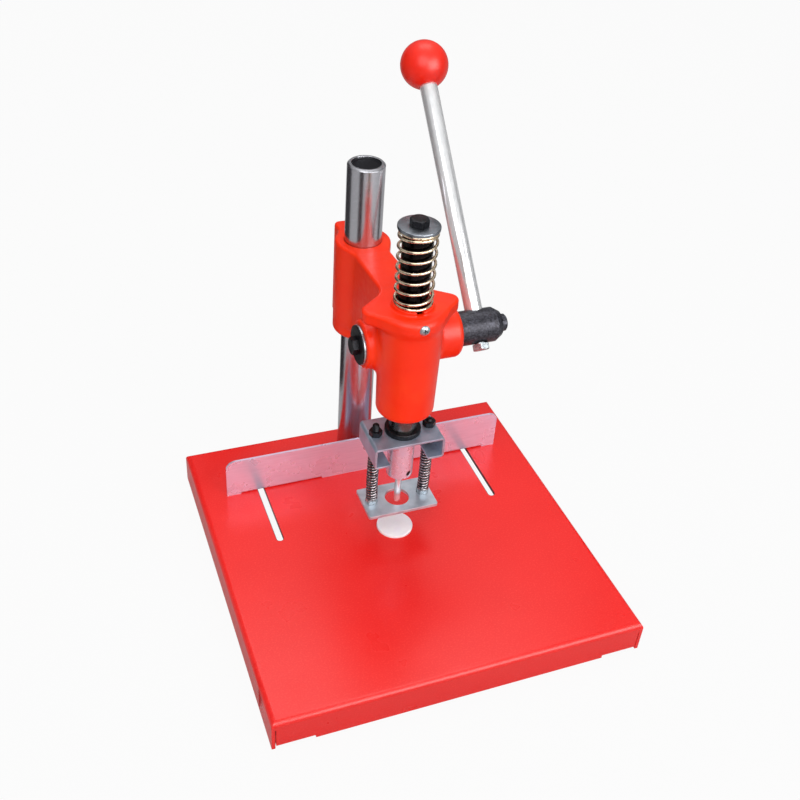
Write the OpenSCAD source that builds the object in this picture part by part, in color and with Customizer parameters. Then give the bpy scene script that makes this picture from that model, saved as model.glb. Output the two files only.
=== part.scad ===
// Manual bench press for punching holes in paper, film and leather.
// The origin lies on the floor, on the axis of the punch. +X is to the right of the
// operator, +Y to the back, +Z up. All sizes are in millimetres.

/* [Base] */
// Width of the folded base, left to right
base_w = 320; // [290:1:400]
// Depth of the folded base, front to back
base_d = 320; // [310:1:420]
// Height of the table top above the floor
base_h = 30; // [26:0.5:45]
// Thickness of the steel sheet
sheet_t = 3; // [2:0.1:4]
// Outer radius of the four bends
bend_r = 5; // [4.5:0.1:8]
// Distance from the punch axis to the rear edge of the base
base_back = 149; // [146:1:170]
// Length of the front flange that reaches the floor
flange_mid_w = 250; // [150:1:270]
// Gap under the ends of the front and rear flanges
flange_lift = 3; // [1:0.1:6]
// Width of the slit between two neighbouring flanges
corner_slit = 0.6; // [0.3:0.1:1]

/* [Slots and fence] */
// Distance of each fence slot from the middle
slot_x = 103; // [90:1:118]
// Width of each fence slot
slot_w = 6; // [5.4:0.1:8]
// Front end of each slot, measured from the punch axis
slot_front = 11; // [0:1:20]
// Length of each slot
slot_len = 112; // [108:1:122]
// Length of the fence
fence_w = 270; // [250:1:280]
// Height of the fence
fence_h = 40; // [25:0.5:50]
// Thickness of the fence sheet
fence_t = 2; // [1.5:0.1:3]
// Radius of the upper fence corners
fence_corner_r = 9; // [3:0.5:14]
// Place of the fence face behind the punch axis
fence_y = 80; // [76:1:82]
// Depth of the fence feet
fence_foot_d = 30; // [24:1:36]
// Width of each fence foot
fence_foot_w = 78; // [60:1:84]
// Distance of the fence bolts behind the fence face
fence_bolt_set = 15; // [12:0.5:18]
// Shank diameter of the fence bolts
fence_bolt_d = 5; // [4:0.1:5.2]

/* [Column] */
// Outer diameter of the column
column_d = 32; // [30:0.5:36]
// Wall of the column tube
column_wall = 3.5; // [2:0.1:5]
// Length of the column above the table
column_len = 300; // [270:1:380]
// Distance from the punch axis to the column axis
throat = 118; // [112:1:124]
// Size of the stiffening plate under the column
foot_w = 90; // [60:1:120]
// Thickness of the stiffening plate
foot_t = 6; // [4:0.5:8]
// Thread diameter of the column bolt
column_bolt_d = 10; // [8:0.5:12]

/* [Anvil] */
// Diameter of the nylon cutting pad
pad_d = 32.4; // [26:0.1:36]
// Height of the pad above the table
pad_proud = 2; // [0.5:0.1:2.4]
// Depth of the pad seat in the anvil
pad_seat = 4; // [2:0.5:8]
// Diameter of the anvil block
anvil_d = 52; // [42:1:60]

/* [Head] */
// Height of the flat top of the head above the floor
head_top = 265; // [262:0.5:272]
// Length of the barrel below the flat top
barrel_len = 100; // [96:0.5:101]
// Radius of the barrel at its lower end
barrel_r = 24; // [22:0.2:26]
// How much wider the barrel is at its upper end
barrel_taper = 2; // [0.5:0.1:3]
// Rounding of the lower barrel edge
barrel_round = 5; // [2:0.5:7]
// Height of the raised seat under the return spring
seat_h = 3.5; // [2:0.1:5]
// Thickness of the top flange
flange_t = 12; // [8:0.5:15]
// Distance of the flange lobes from the middle
lobe_x = 32; // [30:0.5:38]
// Radius of the flange lobes
lobe_r = 8; // [5:0.5:10]
// Thickness of the web between barrel and clamp sleeve
web_t = 32; // [24:0.5:34]
// Radius of the clamp sleeve round the column
sleeve_r = 24; // [22:0.2:28]
// Length of the clamp sleeve
sleeve_len = 90; // [80:0.5:95]
// How far the sleeve ends below the flat top
sleeve_drop = 5; // [2:0.5:8]
// How far the clamp ears reach behind the column axis
ear_reach = 37; // [35:0.5:42]
// Width over both clamp ears
ear_w = 30; // [27:0.5:34]
// Width of the clamp slit
clamp_slit = 3; // [2:0.1:5]
// Height of the lower clamp bolt above the lower end of the sleeve
clamp_low = 24; // [16:1:30]
// Distance between the two clamp bolts
clamp_pitch = 46; // [36:1:54]

/* [Rack and pinion] */
// Module of the teeth
gear_m = 2; // [1.9:0.05:2.1]
// Teeth of the pinion
teeth = 13; // [13:1:14]
// Pressure angle of the teeth
pressure = 25; // [24:0.5:27]
// Backlash along the pitch line
backlash = 0.2; // [0.1:0.05:0.4]
// Height of the pinion axis above the floor
pinion_z = 220; // [216:0.5:223]
// Depth of the pitch line inside the ram surface
rack_depth = 3; // [2.8:0.1:3.4]
// Face width of the pinion
pinion_face = 23; // [21:0.5:24]
// Diameter of the right journal
journal_d = 20; // [16:0.5:22]
// Diameter of the shaft end inside the hub
hub_seat_d = 14.6; // [12:0.2:16]
// Outer end of the left boss, from the middle
boss_left = 33.5; // [30:0.5:36]
// Outer end of the right boss, from the middle
boss_right = 49.5; // [46:0.5:56]
// Radius of the left boss
boss_left_r = 20; // [18.5:0.2:21]
// Radius of the right boss
boss_right_r = 22; // [18:0.2:24]
// Radial clearance of everything that turns or slides in a bore
running_gap = 0.05; // [0.02:0.01:0.09]

/* [Lever] */
// Angle of the lever behind the vertical at rest
lever_lean = 43; // [35:1:50]
// Distance from the pinion axis to the middle of the ball
lever_len = 226; // [180:1:260]
// Diameter of the lever rod
rod_d = 15; // [12:0.2:16]
// Radius of the ball knob
ball_r = 20.5; // [16:0.5:24]
// Radius of the lever hub
hub_r = 14.6; // [14:0.1:16]
// Length of the lever hub
hub_len = 38.5; // [36:0.5:42]
// Distance of the rod from the inner hub face
rod_set = 18.9; // [15:0.1:21]
// Length of the shaft end that stands out of the hub
shaft_end = 6; // [3:0.5:9]

/* [Ram] */
// Diameter of the ram
ram_d = 24; // [23:0.1:25]
// Height of the ram top above the floor
ram_top = 332; // [326:0.5:336]
// Travel of the ram
stroke = 30; // [20:0.5:30]
// Diameter of the threaded spigot below the ram
spigot_d = 16; // [14:0.5:18]
// Height of the collar under the ram shoulder
collar_h = 5; // [4:0.5:8]
// Outer diameter of the collar
collar_d = 30.8; // [27:0.2:34]
// Outer diameter of the return spring
return_od = 31.4; // [30.6:0.1:32]
// Wire of the return spring
return_wire = 2.4; // [1.8:0.1:2.6]
// Coils of the return spring
return_coils = 9; // [6:1:10]
// Diameter of the spring washer
spring_washer_d = 32.6; // [31.8:0.2:36]
// Thickness of the spring washer
spring_washer_t = 2.5; // [1.5:0.1:4]

/* [Punch holder] */
// Width of the bracket tube
bracket_w = 62; // [60:0.5:70]
// Length of the bracket tube, front to back
bracket_d = 41; // [36:0.5:44]
// Height of the bracket tube
bracket_h = 20.5; // [17:0.5:22]
// Wall of the bracket tube
bracket_wall = 2; // [1.5:0.1:3]
// Height of the bracket top above the floor
bracket_top = 142; // [139:0.5:143]
// Width of the notch in the lower wall
notch_w = 34; // [26:0.5:36]
// Diameter of the punch chuck
chuck_d = 23; // [20:0.2:25]
// Length of the punch chuck below the bracket top
chuck_len = 48; // [40:0.5:50]
// Diameter of the punch pin
punch_d = 6; // [3:0.1:8]
// Depth of the punch bore in the lower end of the chuck
punch_grip = 18; // [12:0.5:21]

/* [Stripper] */
// Width of the stripper plate
plate_w = 64; // [62:0.5:70]
// Depth of the stripper plate
plate_d = 37; // [30:0.5:41]
// Thickness of the stripper plate
plate_t = 3; // [2:0.1:4]
// Height of the lower face of the stripper plate above the floor
plate_z = 62.4; // [62.3:0.1:66]
// Diameter of the window in the stripper plate
window_d = 21.6; // [16:0.2:24]
// Distance of the guide rods from the middle
guide_x = 24; // [23:0.2:25.5]
// Diameter of the guide rods
guide_d = 6; // [5:0.1:6.5]
// How much shorter the right guide rod is
rod_step = 4; // [0:0.5:5]
// Travel of the stripper plate against its springs
stripper_travel = 10; // [6:0.5:10.5]
// Outer diameter of the stripper springs
stripper_od = 10.4; // [9.8:0.1:11]
// Wire of the stripper springs
stripper_wire = 1.6; // [1:0.1:1.7]
// Coils of each stripper spring
stripper_coils = 18; // [10:1:20]

/* [Fasteners] */
// Radial clearance of a bolt in a plain hole
bolt_gap = 0.25; // [0.15:0.05:0.5]
// Radial clearance between a simplified thread and its hole
thread_gap = 0.04; // [0.02:0.01:0.08]
// Width across flats of a hexagon for each millimetre of thread
flats = 1.65; // [1.5:0.05:1.75]
// Height of a bolt head for each millimetre of thread
head_ratio = 0.68; // [0.5:0.02:0.8]
// Height of a nut for each millimetre of thread
nut_ratio = 0.85; // [0.7:0.05:1]
// Thread of the ram, pinion, clamp and lever bolts
bolt_d = 8; // [6:0.5:8]

/* [Hidden] */
$fn = 64;

// Colours, as the real finishes show them
red_powder = [0.90, 0.17, 0.16];
red_paint = [0.93, 0.22, 0.12];
chrome = [0.80, 0.80, 0.83];
zinc = [0.70, 0.73, 0.77];
steel = [0.62, 0.62, 0.64];
black_oxide = [0.13, 0.13, 0.14];
spring_zinc = [0.80, 0.70, 0.56];
nylon = [0.92, 0.92, 0.94];

// A cut runs this far past the face that it leaves
cut = 1;
// Gap between flat faces that move along each other
slide_gap = 0.2;

// Base
base_front = base_d - base_back;
base_mid_y = base_back - base_d / 2;
under = base_h - sheet_t;
pad_top = base_h + pad_proud;
pad_bottom = under - pad_seat;
seat_gap = 0.1;

// Column
column_r = column_d / 2;
column_top = base_h + column_len;
plug_len = 30;
cap_h = 10;
cap_sink = 1.2;
column_washer_d = 28;
column_washer_t = 2.5;

// Fence
fence_bolt_y = fence_y + fence_bolt_set;
fence_fold_r = fence_t + 1;
fence_foot_over = 19;
fence_foot_x = slot_x + fence_foot_over - fence_foot_w / 2;
wing_span = 26;
wing_h = 13;
wing_t = 3;
wing_hub_r = 4.8;
wing_hub_h = 6;
fence_washer_d = 12;
fence_washer_t = 1.2;
fence_head_d = 12;
fence_head_t = 2.6;
stud_over = 11;

// Head
barrel_bottom = head_top - barrel_len;
barrel_top_r = barrel_r + barrel_taper;
flange_r = barrel_top_r + 0.3;
sleeve_top = head_top - sleeve_drop;
sleeve_bottom = sleeve_top - sleeve_len;
seat_r = return_od / 2 + 1;
seat_slot = 5.6;
seat_floor = 0.4;
spring_seat = head_top + seat_h;
lobe_y = 4;
tail_y = 24;
tail_r = 5;
web_rise = 17;
web_low = barrel_bottom + web_rise;
web_arch_rise = 12;
web_arch_r = 60;
web_end = throat - sleeve_r + 10;
ear_corner_r = 5;
clamp_set = 9;
clamp_y = throat + ear_reach - clamp_set;
clamp_z = [sleeve_bottom + clamp_low, sleeve_bottom + clamp_low + clamp_pitch];
clamp_washer_t = 1.6;
clamp_bolt_short = 1.5;
guide_screw_z = head_top - flange_t / 2;
guide_screw_d = 5;
guide_screw_head_d = 8.4;
key_w = 4.4;
key_depth = 2.4;

// Rack and pinion
pitch_r = gear_m * teeth / 2;
tip_r = pitch_r + gear_m;
root_r = pitch_r - 1.25 * gear_m;
pitch_line = ram_d / 2 - rack_depth;
pinion_y = pitch_line + pitch_r;
rack_pitch = PI * gear_m;
rack_gashes = ceil((stroke + 2 * tip_r * sin(42)) / rack_pitch) + 1;
rack_first = -2;
lever_turn = stroke / pitch_r * 180 / PI;
boss_bore_r = tip_r + running_gap;
pinion_left = boss_left + slide_gap;
pinion_step = pinion_face / 2 + 1;
hub_x = boss_right + 0.6;
rod_x = hub_x + rod_set;
hub_chamfer = 6;
pinion_washer_r = tip_r + 1.5;
pinion_washer_t = 2.5;

// Ram
ram_r = ram_d / 2;
ram_shoulder = bracket_top + collar_h;
spigot_low = bracket_top - chuck_len + punch_grip;
spring_room = ram_top - spring_seat;
bolt_depth = 2.5 * bolt_d;

// Punch holder
bracket_low = bracket_top - bracket_h;
bracket_corner = 3;
chuck_low = bracket_top - chuck_len;
chuck_chamfer = 2;
chuck_screw_rise = 6.5;
chuck_screw_z = chuck_low + chuck_screw_rise;
chuck_screw_d = 5;
chuck_screw_turn = -66;

// Stripper
plate_top = plate_z + plate_t;
plate_nut_h = guide_d * nut_ratio;
stripper_seat = plate_top + plate_nut_h;
stripper_room = bracket_low - stripper_seat;
rod_clear = 1.5;
rod_top = barrel_bottom - stripper_travel - rod_clear;
guide_nut_turn = 12;
plate_nut_turn = 20;

// External tangent of two circles [x, y, r], on the right of the way from a to b
function belt_normal(a, b) =
    let (v = [b.x - a.x, b.y - a.y], l = norm(v), d = v / l, s = (a.z - b.z) / l)
    [d.y, -d.x] * sqrt(1 - s * s) + d * s;
function belt_points(cs) = [
    for (i = [0 : len(cs) - 1])
        let (a = cs[i], b = cs[(i + 1) % len(cs)], n = belt_normal(a, b))
        for (c = [a, b]) [c.x, c.y] + c.z * n
];

// Involute of the pinion: half the angle of a tooth at the radius r
function inv(a) = tan(a) - a * PI / 180;
function tooth_half(r) =
    let (rb = pitch_r * cos(pressure), a = acos(min(1, rb / max(r, rb))))
    ((rack_pitch - backlash) / 4 / pitch_r + inv(pressure) - inv(a)) * 180 / PI;
function flank(side) = [
    for (k = [0 : 5])
        let (i = side < 0 ? k : 5 - k)
        let (rb = pitch_r * cos(pressure), r = rb + (tip_r - rb) * i / 5)
        let (a = side * tooth_half(r))
        r * [cos(a), sin(a)]
];
function turned(p, a) = [p.x * cos(a) - p.y * sin(a), p.x * sin(a) + p.y * cos(a)];
function tooth_outline() = concat(
    [root_r * [cos(tooth_half(0)), -sin(tooth_half(0))]],
    flank(-1),
    flank(1),
    [root_r * [cos(tooth_half(0)), sin(tooth_half(0))]]
);

// Height of the wire centre after u turns of a spring whose end coils lie flat
function coil_height(u, coils, climb, rise) =
    u < 0.5 ? 0
    : u < 1 ? climb * (u - 0.5) * 2
    : u < coils - 1 ? climb + (rise - 2 * climb) * (u - 1) / (coils - 2)
    : u < coils - 0.5 ? rise - climb + climb * (u - coils + 1) * 2
    : rise;
function coil_path(coils, radius, wire, room) =
    let (rise = room - wire * cos(30), climb = wire + 0.55, steps = coils * 8)
    let (turns = [for (i = [0 : steps]) i / 8])
    let (arc = [for (u = turns) [
        radius * cos(360 * u), radius * sin(360 * u), coil_height(u, coils, climb, rise)
    ]])
    concat(
        [arc[0] - [0, wire, 0]],
        arc,
        [arc[steps] + [0, wire, 0]]
    );
function ring_normal(p, i) =
    let (a = p[max(0, i - 1)], b = p[min(len(p) - 1, i + 1)])
    (b - a) / norm(b - a);
function outward(p, i) =
    let (q = i == 0 ? p[1] : i == len(p) - 1 ? p[i - 1] : p[i])
    [q.x, q.y, 0] / norm([q.x, q.y]);
function tube_points(p, wire) = [
    for (i = [0 : len(p) - 1])
        let (t = ring_normal(p, i), e0 = outward(p, i), b0 = cross(e0, t))
        let (b = b0 / norm(b0), e = cross(t, b))
        for (k = [0 : 5]) p[i] + wire / 2 * (e * cos(60 * k) + b * sin(60 * k))
];
function tube_faces(rings) = concat(
    [for (k = [1 : 4]) [0, k, k + 1]],
    [for (i = [0 : rings - 2], k = [0 : 5])
        let (a = i * 6 + k, b = i * 6 + (k + 1) % 6)
        for (f = [[a, a + 6, b], [b, a + 6, b + 6]]) f],
    [for (k = [1 : 4]) let (s = (rings - 1) * 6) [s, s + k + 1, s + k]]
);
// Least gap of the wire to itself, between rings at least half a turn apart
function wire_gap(p, wire) = min([
    for (i = [0 : len(p) - 6], j = [i + 5 : len(p) - 1]) norm(p[i] - p[j])
]) - wire;

// Outline that a belt would take round the circles [x, y, r], listed anticlockwise
module belt(cs) {
    polygon(belt_points(cs));
    for (c = cs) translate([c.x, c.y]) circle(r = c.z);
}

// Coil spring that fills the height room
module coil_spring(coils, od, wire, room) {
    path = coil_path(coils, (od - wire) / 2, wire, room);
    echo(coils = coils, wire_gap = wire_gap(path, wire));
    translate([0, 0, wire / 2 * cos(30)])
        polyhedron(tube_points(path, wire), tube_faces(len(path)), convexity = 10);
}

// Hexagon with chamfered corners, standing on z = 0
module hexagon(thread, height) {
    across = thread * flats / cos(30);
    edge = thread * 0.12;
    intersection() {
        cylinder(d = across, h = height, $fn = 6);
        union() {
            cylinder(d = across * 1.02, h = height - edge);
            translate([0, 0, height - edge])
                cylinder(d1 = across * 1.02, d2 = across - 3 * edge, h = edge);
        }
    }
}

// Hexagon bolt: head above z = 0, shank below
module hex_bolt(thread, shank) {
    hexagon(thread, thread * head_ratio);
    translate([0, 0, -shank]) cylinder(d = thread, h = shank + 0.01);
}

module washer(outer, inner, thick) {
    difference() {
        cylinder(d = outer, h = thick);
        translate([0, 0, -cut]) cylinder(d = inner, h = thick + 2 * cut);
    }
}

// Points a part that is drawn along +Z along +X instead
module along_x() { rotate([0, 90, 0]) children(); }

// Inverted tray whose four top edges are rounded with the radius r
module tray_block(w, d, h, r) {
    intersection() {
        rotate([90, 0, 0]) linear_extrude(d, center = true) arch(w, h, r);
        rotate([90, 0, 90]) linear_extrude(w, center = true) arch(d, h, r);
    }
}
module arch(w, h, r) {
    translate([-w / 2, 0]) square([w, h - r]);
    translate([-w / 2 + r, 0]) square([w - 2 * r, h]);
    for (s = [-1, 1]) translate([s * (w / 2 - r), h - r]) circle(r = r);
}

// Long round-ended hole along Y
module slot_hole(w, length, h) {
    r = w / 2;
    for (y = [r, length - r]) translate([0, y, 0]) cylinder(r = r, h = h);
    translate([-r, r, 0]) cube([w, length - w, h]);
}

module base() {
    end_w = (base_w - flange_mid_w) / 2 - sheet_t;
    color(red_powder) translate([0, base_mid_y, 0]) difference() {
        tray_block(base_w, base_d, base_h, bend_r);
        translate([0, 0, -cut])
            tray_block(base_w - 2 * sheet_t, base_d - 2 * sheet_t, under + cut, bend_r - sheet_t);
        for (sx = [-1, 1], sy = [-1, 1]) {
            translate([sx * (base_w / 2 - sheet_t - corner_slit / 2), sy * (base_d / 2 - sheet_t / 2),
                (under - bend_r) / 2 - cut / 2])
                cube([corner_slit, sheet_t + 2 * cut, under - bend_r + cut], center = true);
            translate([sx * (base_w / 2 - sheet_t - end_w / 2), sy * (base_d / 2 - sheet_t / 2),
                (flange_lift - cut) / 2])
                cube([end_w, sheet_t + 2 * cut, flange_lift + cut], center = true);
        }
        translate([0, -base_mid_y, under - cut]) {
            cylinder(d = pad_d + 2 * seat_gap, h = sheet_t + 2 * cut);
            translate([0, throat, 0])
                cylinder(r = column_bolt_d / 2 + bolt_gap, h = sheet_t + 2 * cut);
            for (s = [-1, 1]) translate([s * slot_x, slot_front, 0])
                slot_hole(slot_w, slot_len, sheet_t + 2 * cut);
        }
    }
}

module anvil_block() {
    foot_cut = 1.5;
    color(steel) difference() {
        union() {
            cylinder(d1 = anvil_d - 2 * foot_cut, d2 = anvil_d, h = foot_cut);
            translate([0, 0, foot_cut]) cylinder(d = anvil_d, h = under - foot_cut);
        }
        translate([0, 0, pad_bottom]) cylinder(d = pad_d + 2 * seat_gap, h = pad_seat + cut);
    }
}

module cutting_pad() {
    edge = 0.6;
    color(nylon) {
        translate([0, 0, pad_bottom]) cylinder(d = pad_d, h = pad_top - edge - pad_bottom);
        translate([0, 0, pad_top - edge]) cylinder(d1 = pad_d, d2 = pad_d - 2 * edge, h = edge);
    }
}

module column() {
    edge = 1.5;
    color(chrome) translate([0, throat, base_h]) difference() {
        union() {
            cylinder(r = column_r, h = column_len - edge);
            translate([0, 0, column_len - edge])
                cylinder(r1 = column_r, r2 = column_r - edge, h = edge);
        }
        translate([0, 0, -cut]) cylinder(r = column_r - column_wall, h = column_len + 2 * cut);
    }
}

module column_cap() {
    bore_r = column_r - column_wall - thread_gap;
    color(black_oxide) translate([0, throat, column_top - cap_sink - cap_h]) difference() {
        cylinder(r = bore_r, h = cap_h);
        translate([0, 0, -cut]) cylinder(r = bore_r - 2, h = cap_h - 2 + cut);
    }
}

module column_plug() {
    color(steel) translate([0, throat, base_h]) difference() {
        cylinder(r = column_r - column_wall - thread_gap, h = plug_len);
        translate([0, 0, -cut]) cylinder(r = column_bolt_d / 2 + thread_gap, h = plug_len + 2 * cut);
    }
}

module column_foot() {
    r = 6;
    x = foot_w / 2 - r;
    y0 = throat - column_d + r;
    y1 = base_back - sheet_t - bend_r - r;
    color(steel) translate([0, 0, under - foot_t]) difference() {
        linear_extrude(foot_t) belt([[-x, y0, r], [x, y0, r], [x, y1, r], [-x, y1, r]]);
        translate([0, throat, -cut])
            cylinder(r = column_bolt_d / 2 + bolt_gap, h = foot_t + 2 * cut);
    }
}

module column_washer() {
    color(zinc) translate([0, throat, under - foot_t - column_washer_t])
        washer(column_washer_d, column_bolt_d + 2 * bolt_gap, column_washer_t);
}

module column_bolt() {
    grip = column_washer_t + foot_t + sheet_t;
    color(zinc) translate([0, throat, under - foot_t - column_washer_t])
        mirror([0, 0, 1]) hex_bolt(column_bolt_d, grip + plug_len - 8);
}

// Folded fence sheet: an upright face and two feet that leave room for the column
module fence() {
    color(zinc) difference() {
        union() {
            translate([0, fence_y + fence_t, base_h]) rotate([90, 0, 0])
                linear_extrude(fence_t) fence_face();
            for (s = [-1, 1]) translate([s * fence_foot_x - fence_foot_w / 2, fence_y, base_h])
                rotate([90, 0, 90]) linear_extrude(fence_foot_w) fence_fold();
        }
        for (s = [-1, 1]) translate([s * slot_x, fence_bolt_y, base_h - cut])
            cylinder(r = fence_bolt_d / 2 + bolt_gap, h = fence_t + 2 * cut);
    }
}

// Face of the fence, open at the foot where the folds begin
module fence_face() {
    x = fence_w / 2 - fence_corner_r;
    top = fence_h - fence_corner_r;
    difference() {
        union() {
            for (s = [-1, 1]) translate([s * x, top]) circle(r = fence_corner_r);
            translate([-fence_w / 2, 0]) square([fence_w, top]);
            translate([-x, 0]) square([2 * x, fence_h]);
        }
        for (s = [-1, 1]) translate([s * fence_foot_x - fence_foot_w / 2, -cut])
            square([fence_foot_w, fence_fold_r + cut]);
    }
}

// Section of the fold: a quarter bend and the foot behind it
module fence_fold() {
    r = fence_fold_r;
    difference() {
        union() {
            translate([r, r]) circle(r = r);
            translate([r, 0]) square([fence_foot_d - r, fence_t]);
            translate([0, r]) square([fence_t, r]);
        }
        translate([r, r]) circle(r = r - fence_t);
        translate([r, fence_t]) square([r + cut, 2 * r]);
        translate([fence_t, r]) square([2 * r, r + cut]);
    }
}

// Carriage bolts: round head under the table, square neck in the slot
module fence_bolts() {
    neck = slot_w - 2 * slide_gap;
    color(zinc) for (s = [-1, 1]) translate([s * slot_x, fence_bolt_y, 0]) {
        translate([0, 0, under - slide_gap - fence_head_t]) {
            cylinder(d1 = fence_head_d * 0.7, d2 = fence_head_d, h = fence_head_t / 2);
            translate([0, 0, fence_head_t / 2]) cylinder(d = fence_head_d, h = fence_head_t / 2);
        }
        translate([-neck / 2, -neck / 2, under - slide_gap - 0.01])
            cube([neck, neck, sheet_t + slide_gap - 0.2]);
        translate([0, 0, under])
            cylinder(d = fence_bolt_d, h = sheet_t + fence_t + fence_washer_t + stud_over);
    }
}

module fence_washers() {
    color(zinc) for (s = [-1, 1]) translate([s * slot_x, fence_bolt_y, base_h + fence_t])
        washer(fence_washer_d, fence_bolt_d + 2 * bolt_gap, fence_washer_t);
}

module fence_wing_nuts() {
    seat = base_h + fence_t + fence_washer_t;
    color(zinc) for (s = [-1, 1]) translate([s * slot_x, fence_bolt_y, seat]) difference() {
        union() {
            cylinder(r1 = wing_hub_r, r2 = wing_hub_r - 1, h = wing_hub_h);
            for (turn = [0, 180]) rotate([90, 0, turn]) linear_extrude(wing_t, center = true)
                belt([[2.4, 2.6, 2], [wing_span / 2 - 4, wing_h - 4, 4], [2.6, wing_hub_h - 1.6, 1.2]]);
        }
        translate([0, 0, -cut]) cylinder(r = fence_bolt_d / 2 + thread_gap, h = wing_h + 2 * cut);
    }
}

// One iron casting: barrel for the ram, cross bosses for the pinion, web and clamp sleeve
module head_casting() {
    lobe = [lobe_x, lobe_y, lobe_r];
    color(red_paint) difference() {
        union() {
            translate([0, 0, barrel_bottom]) rotate_extrude() barrel_profile();
            translate([0, 0, head_top - flange_t]) linear_extrude(flange_t) belt([
                [0, 0, flange_r], lobe, [web_t / 2 - tail_r, tail_y, tail_r],
                [tail_r - web_t / 2, tail_y, tail_r], [-lobe.x, lobe.y, lobe.z]
            ]);
            translate([0, 0, head_top - 1]) cylinder(r = seat_r, h = seat_h + 1);
            web();
            sleeve();
            translate([0, pinion_y, pinion_z]) {
                along_x() rotate_extrude() boss_profile(boss_right_r, boss_right, 5);
                mirror([1, 0, 0]) along_x() rotate_extrude() boss_profile(boss_left_r, boss_left, 1.5);
            }
        }
        translate([0, 0, barrel_bottom - cut])
            cylinder(r = ram_r + running_gap, h = barrel_len + seat_h + 2 * cut);
        translate([-seat_slot / 2, -seat_r - cut, head_top + seat_floor])
            cube([seat_slot, seat_r, seat_h + cut]);
        translate([0, throat, sleeve_bottom - cut])
            cylinder(r = column_r + running_gap, h = sleeve_len + 2 * cut);
        translate([-clamp_slit / 2, throat, sleeve_bottom - cut])
            cube([clamp_slit, ear_reach + cut, sleeve_len + 2 * cut]);
        translate([0, pinion_y, pinion_z]) along_x() {
            translate([0, 0, -boss_left - cut])
                cylinder(r = boss_bore_r, h = boss_left + pinion_step + slide_gap + cut);
            cylinder(r = journal_d / 2 + running_gap, h = boss_right + cut);
        }
        for (z = clamp_z) translate([0, clamp_y, z]) along_x() {
            translate([0, 0, -ear_w]) cylinder(r = bolt_d / 2 + thread_gap, h = ear_w);
            cylinder(r = bolt_d / 2 + bolt_gap, h = ear_w);
        }
        translate([0, -flange_r - cut, guide_screw_z]) rotate([-90, 0, 0])
            cylinder(r = guide_screw_d / 2 + thread_gap, h = flange_r);
    }
}

// Half section of the barrel, with its rounded lower edge
module barrel_profile() {
    r = barrel_round;
    high = barrel_len - flange_t / 2;
    polygon([[0, 0], [barrel_r - r, 0], [barrel_r, r], [barrel_top_r, high], [0, high]]);
    translate([barrel_r - r, r]) circle(r = r);
}

// Half section of a boss, with a rounded outer edge
module boss_profile(radius, reach, edge) {
    square([radius - edge, reach]);
    square([radius, reach - edge]);
    translate([radius - edge, reach - edge]) circle(r = edge);
}

// Web whose top falls from the flange to the lower sleeve, with an arch under it
module web() {
    y1 = throat - sleeve_r;
    difference() {
        rotate([90, 0, 90]) linear_extrude(web_t, center = true) polygon([
            [0, web_low], [web_end, web_low], [web_end, sleeve_top], [y1, sleeve_top],
            [tail_y + tail_r, head_top], [0, head_top]
        ]);
        translate([-web_t / 2 - cut, (barrel_r + y1) / 2, web_low + web_arch_rise - web_arch_r])
            along_x() cylinder(r = web_arch_r, h = web_t + 2 * cut);
    }
}

module sleeve() {
    x = ear_w / 2 - ear_corner_r;
    y = throat + ear_reach - ear_corner_r;
    translate([0, 0, sleeve_bottom]) {
        translate([0, throat, 0]) {
            cylinder(r1 = sleeve_r - 1.5, r2 = sleeve_r, h = 1.5);
            translate([0, 0, 1.5]) cylinder(r = sleeve_r, h = sleeve_len - 3);
            translate([0, 0, sleeve_len - 1.5]) cylinder(r1 = sleeve_r, r2 = sleeve_r - 1.5, h = 1.5);
        }
        linear_extrude(sleeve_len) belt([
            [-x, throat, ear_corner_r], [x, throat, ear_corner_r],
            [x, y, ear_corner_r], [-x, y, ear_corner_r]
        ]);
    }
}

// Clamp bolts go in from the right and end inside the threaded left ear
module clamp_bolts() {
    color(black_oxide) for (z = clamp_z)
        translate([ear_w / 2 + clamp_washer_t, clamp_y, z]) along_x()
            hex_bolt(bolt_d, ear_w + clamp_washer_t - clamp_bolt_short);
}

module clamp_washers() {
    color(zinc) for (z = clamp_z) translate([ear_w / 2, clamp_y, z]) along_x()
        washer(bolt_d * 2, bolt_d + 2 * bolt_gap, clamp_washer_t);
}

// Cross-head screw whose tip runs in the keyway of the ram
module guide_screw() {
    seat = flange_r;
    tip = ram_r - key_depth + 0.4;
    head_h = 3;
    color(chrome) translate([0, 0, guide_screw_z]) rotate([90, 0, 0]) difference() {
        union() {
            translate([0, 0, tip]) cylinder(d = guide_screw_d - 1.2, h = seat - tip);
            translate([0, 0, ram_r + 1.5]) cylinder(d = guide_screw_d, h = seat - ram_r - 1.5);
            translate([0, 0, seat]) intersection() {
                cylinder(d = guide_screw_head_d, h = head_h);
                translate([0, 0, head_h - 5.4]) sphere(r = 5.4);
            }
        }
        for (a = [20, 110]) rotate([0, 0, a]) translate([0, 0, seat + head_h])
            cube([4.4, 1, 3], center = true);
    }
}

// Shaft with the pinion cut into it: journal, teeth, journal, hub seat
module pinion_shaft() {
    end_x = hub_x + hub_len + shaft_end;
    edge = 1;
    color(steel) translate([0, pinion_y, pinion_z]) difference() {
        along_x() {
            translate([0, 0, -pinion_left]) cylinder(r = tip_r, h = pinion_left - pinion_face / 2);
            translate([0, 0, -pinion_face / 2 - 0.01])
                rotate([0, 0, -90]) linear_extrude(pinion_face + 0.02) pinion_outline();
            translate([0, 0, pinion_face / 2]) cylinder(r = tip_r, h = 1);
            cylinder(d = journal_d, h = hub_x);
            cylinder(d = hub_seat_d, h = end_x - edge);
            translate([0, 0, end_x - edge])
                cylinder(d1 = hub_seat_d, d2 = hub_seat_d - 2 * edge, h = edge);
        }
        along_x() translate([0, 0, -pinion_left - cut])
            cylinder(r = bolt_d / 2 + thread_gap, h = bolt_depth + 2 + cut);
    }
}

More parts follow.
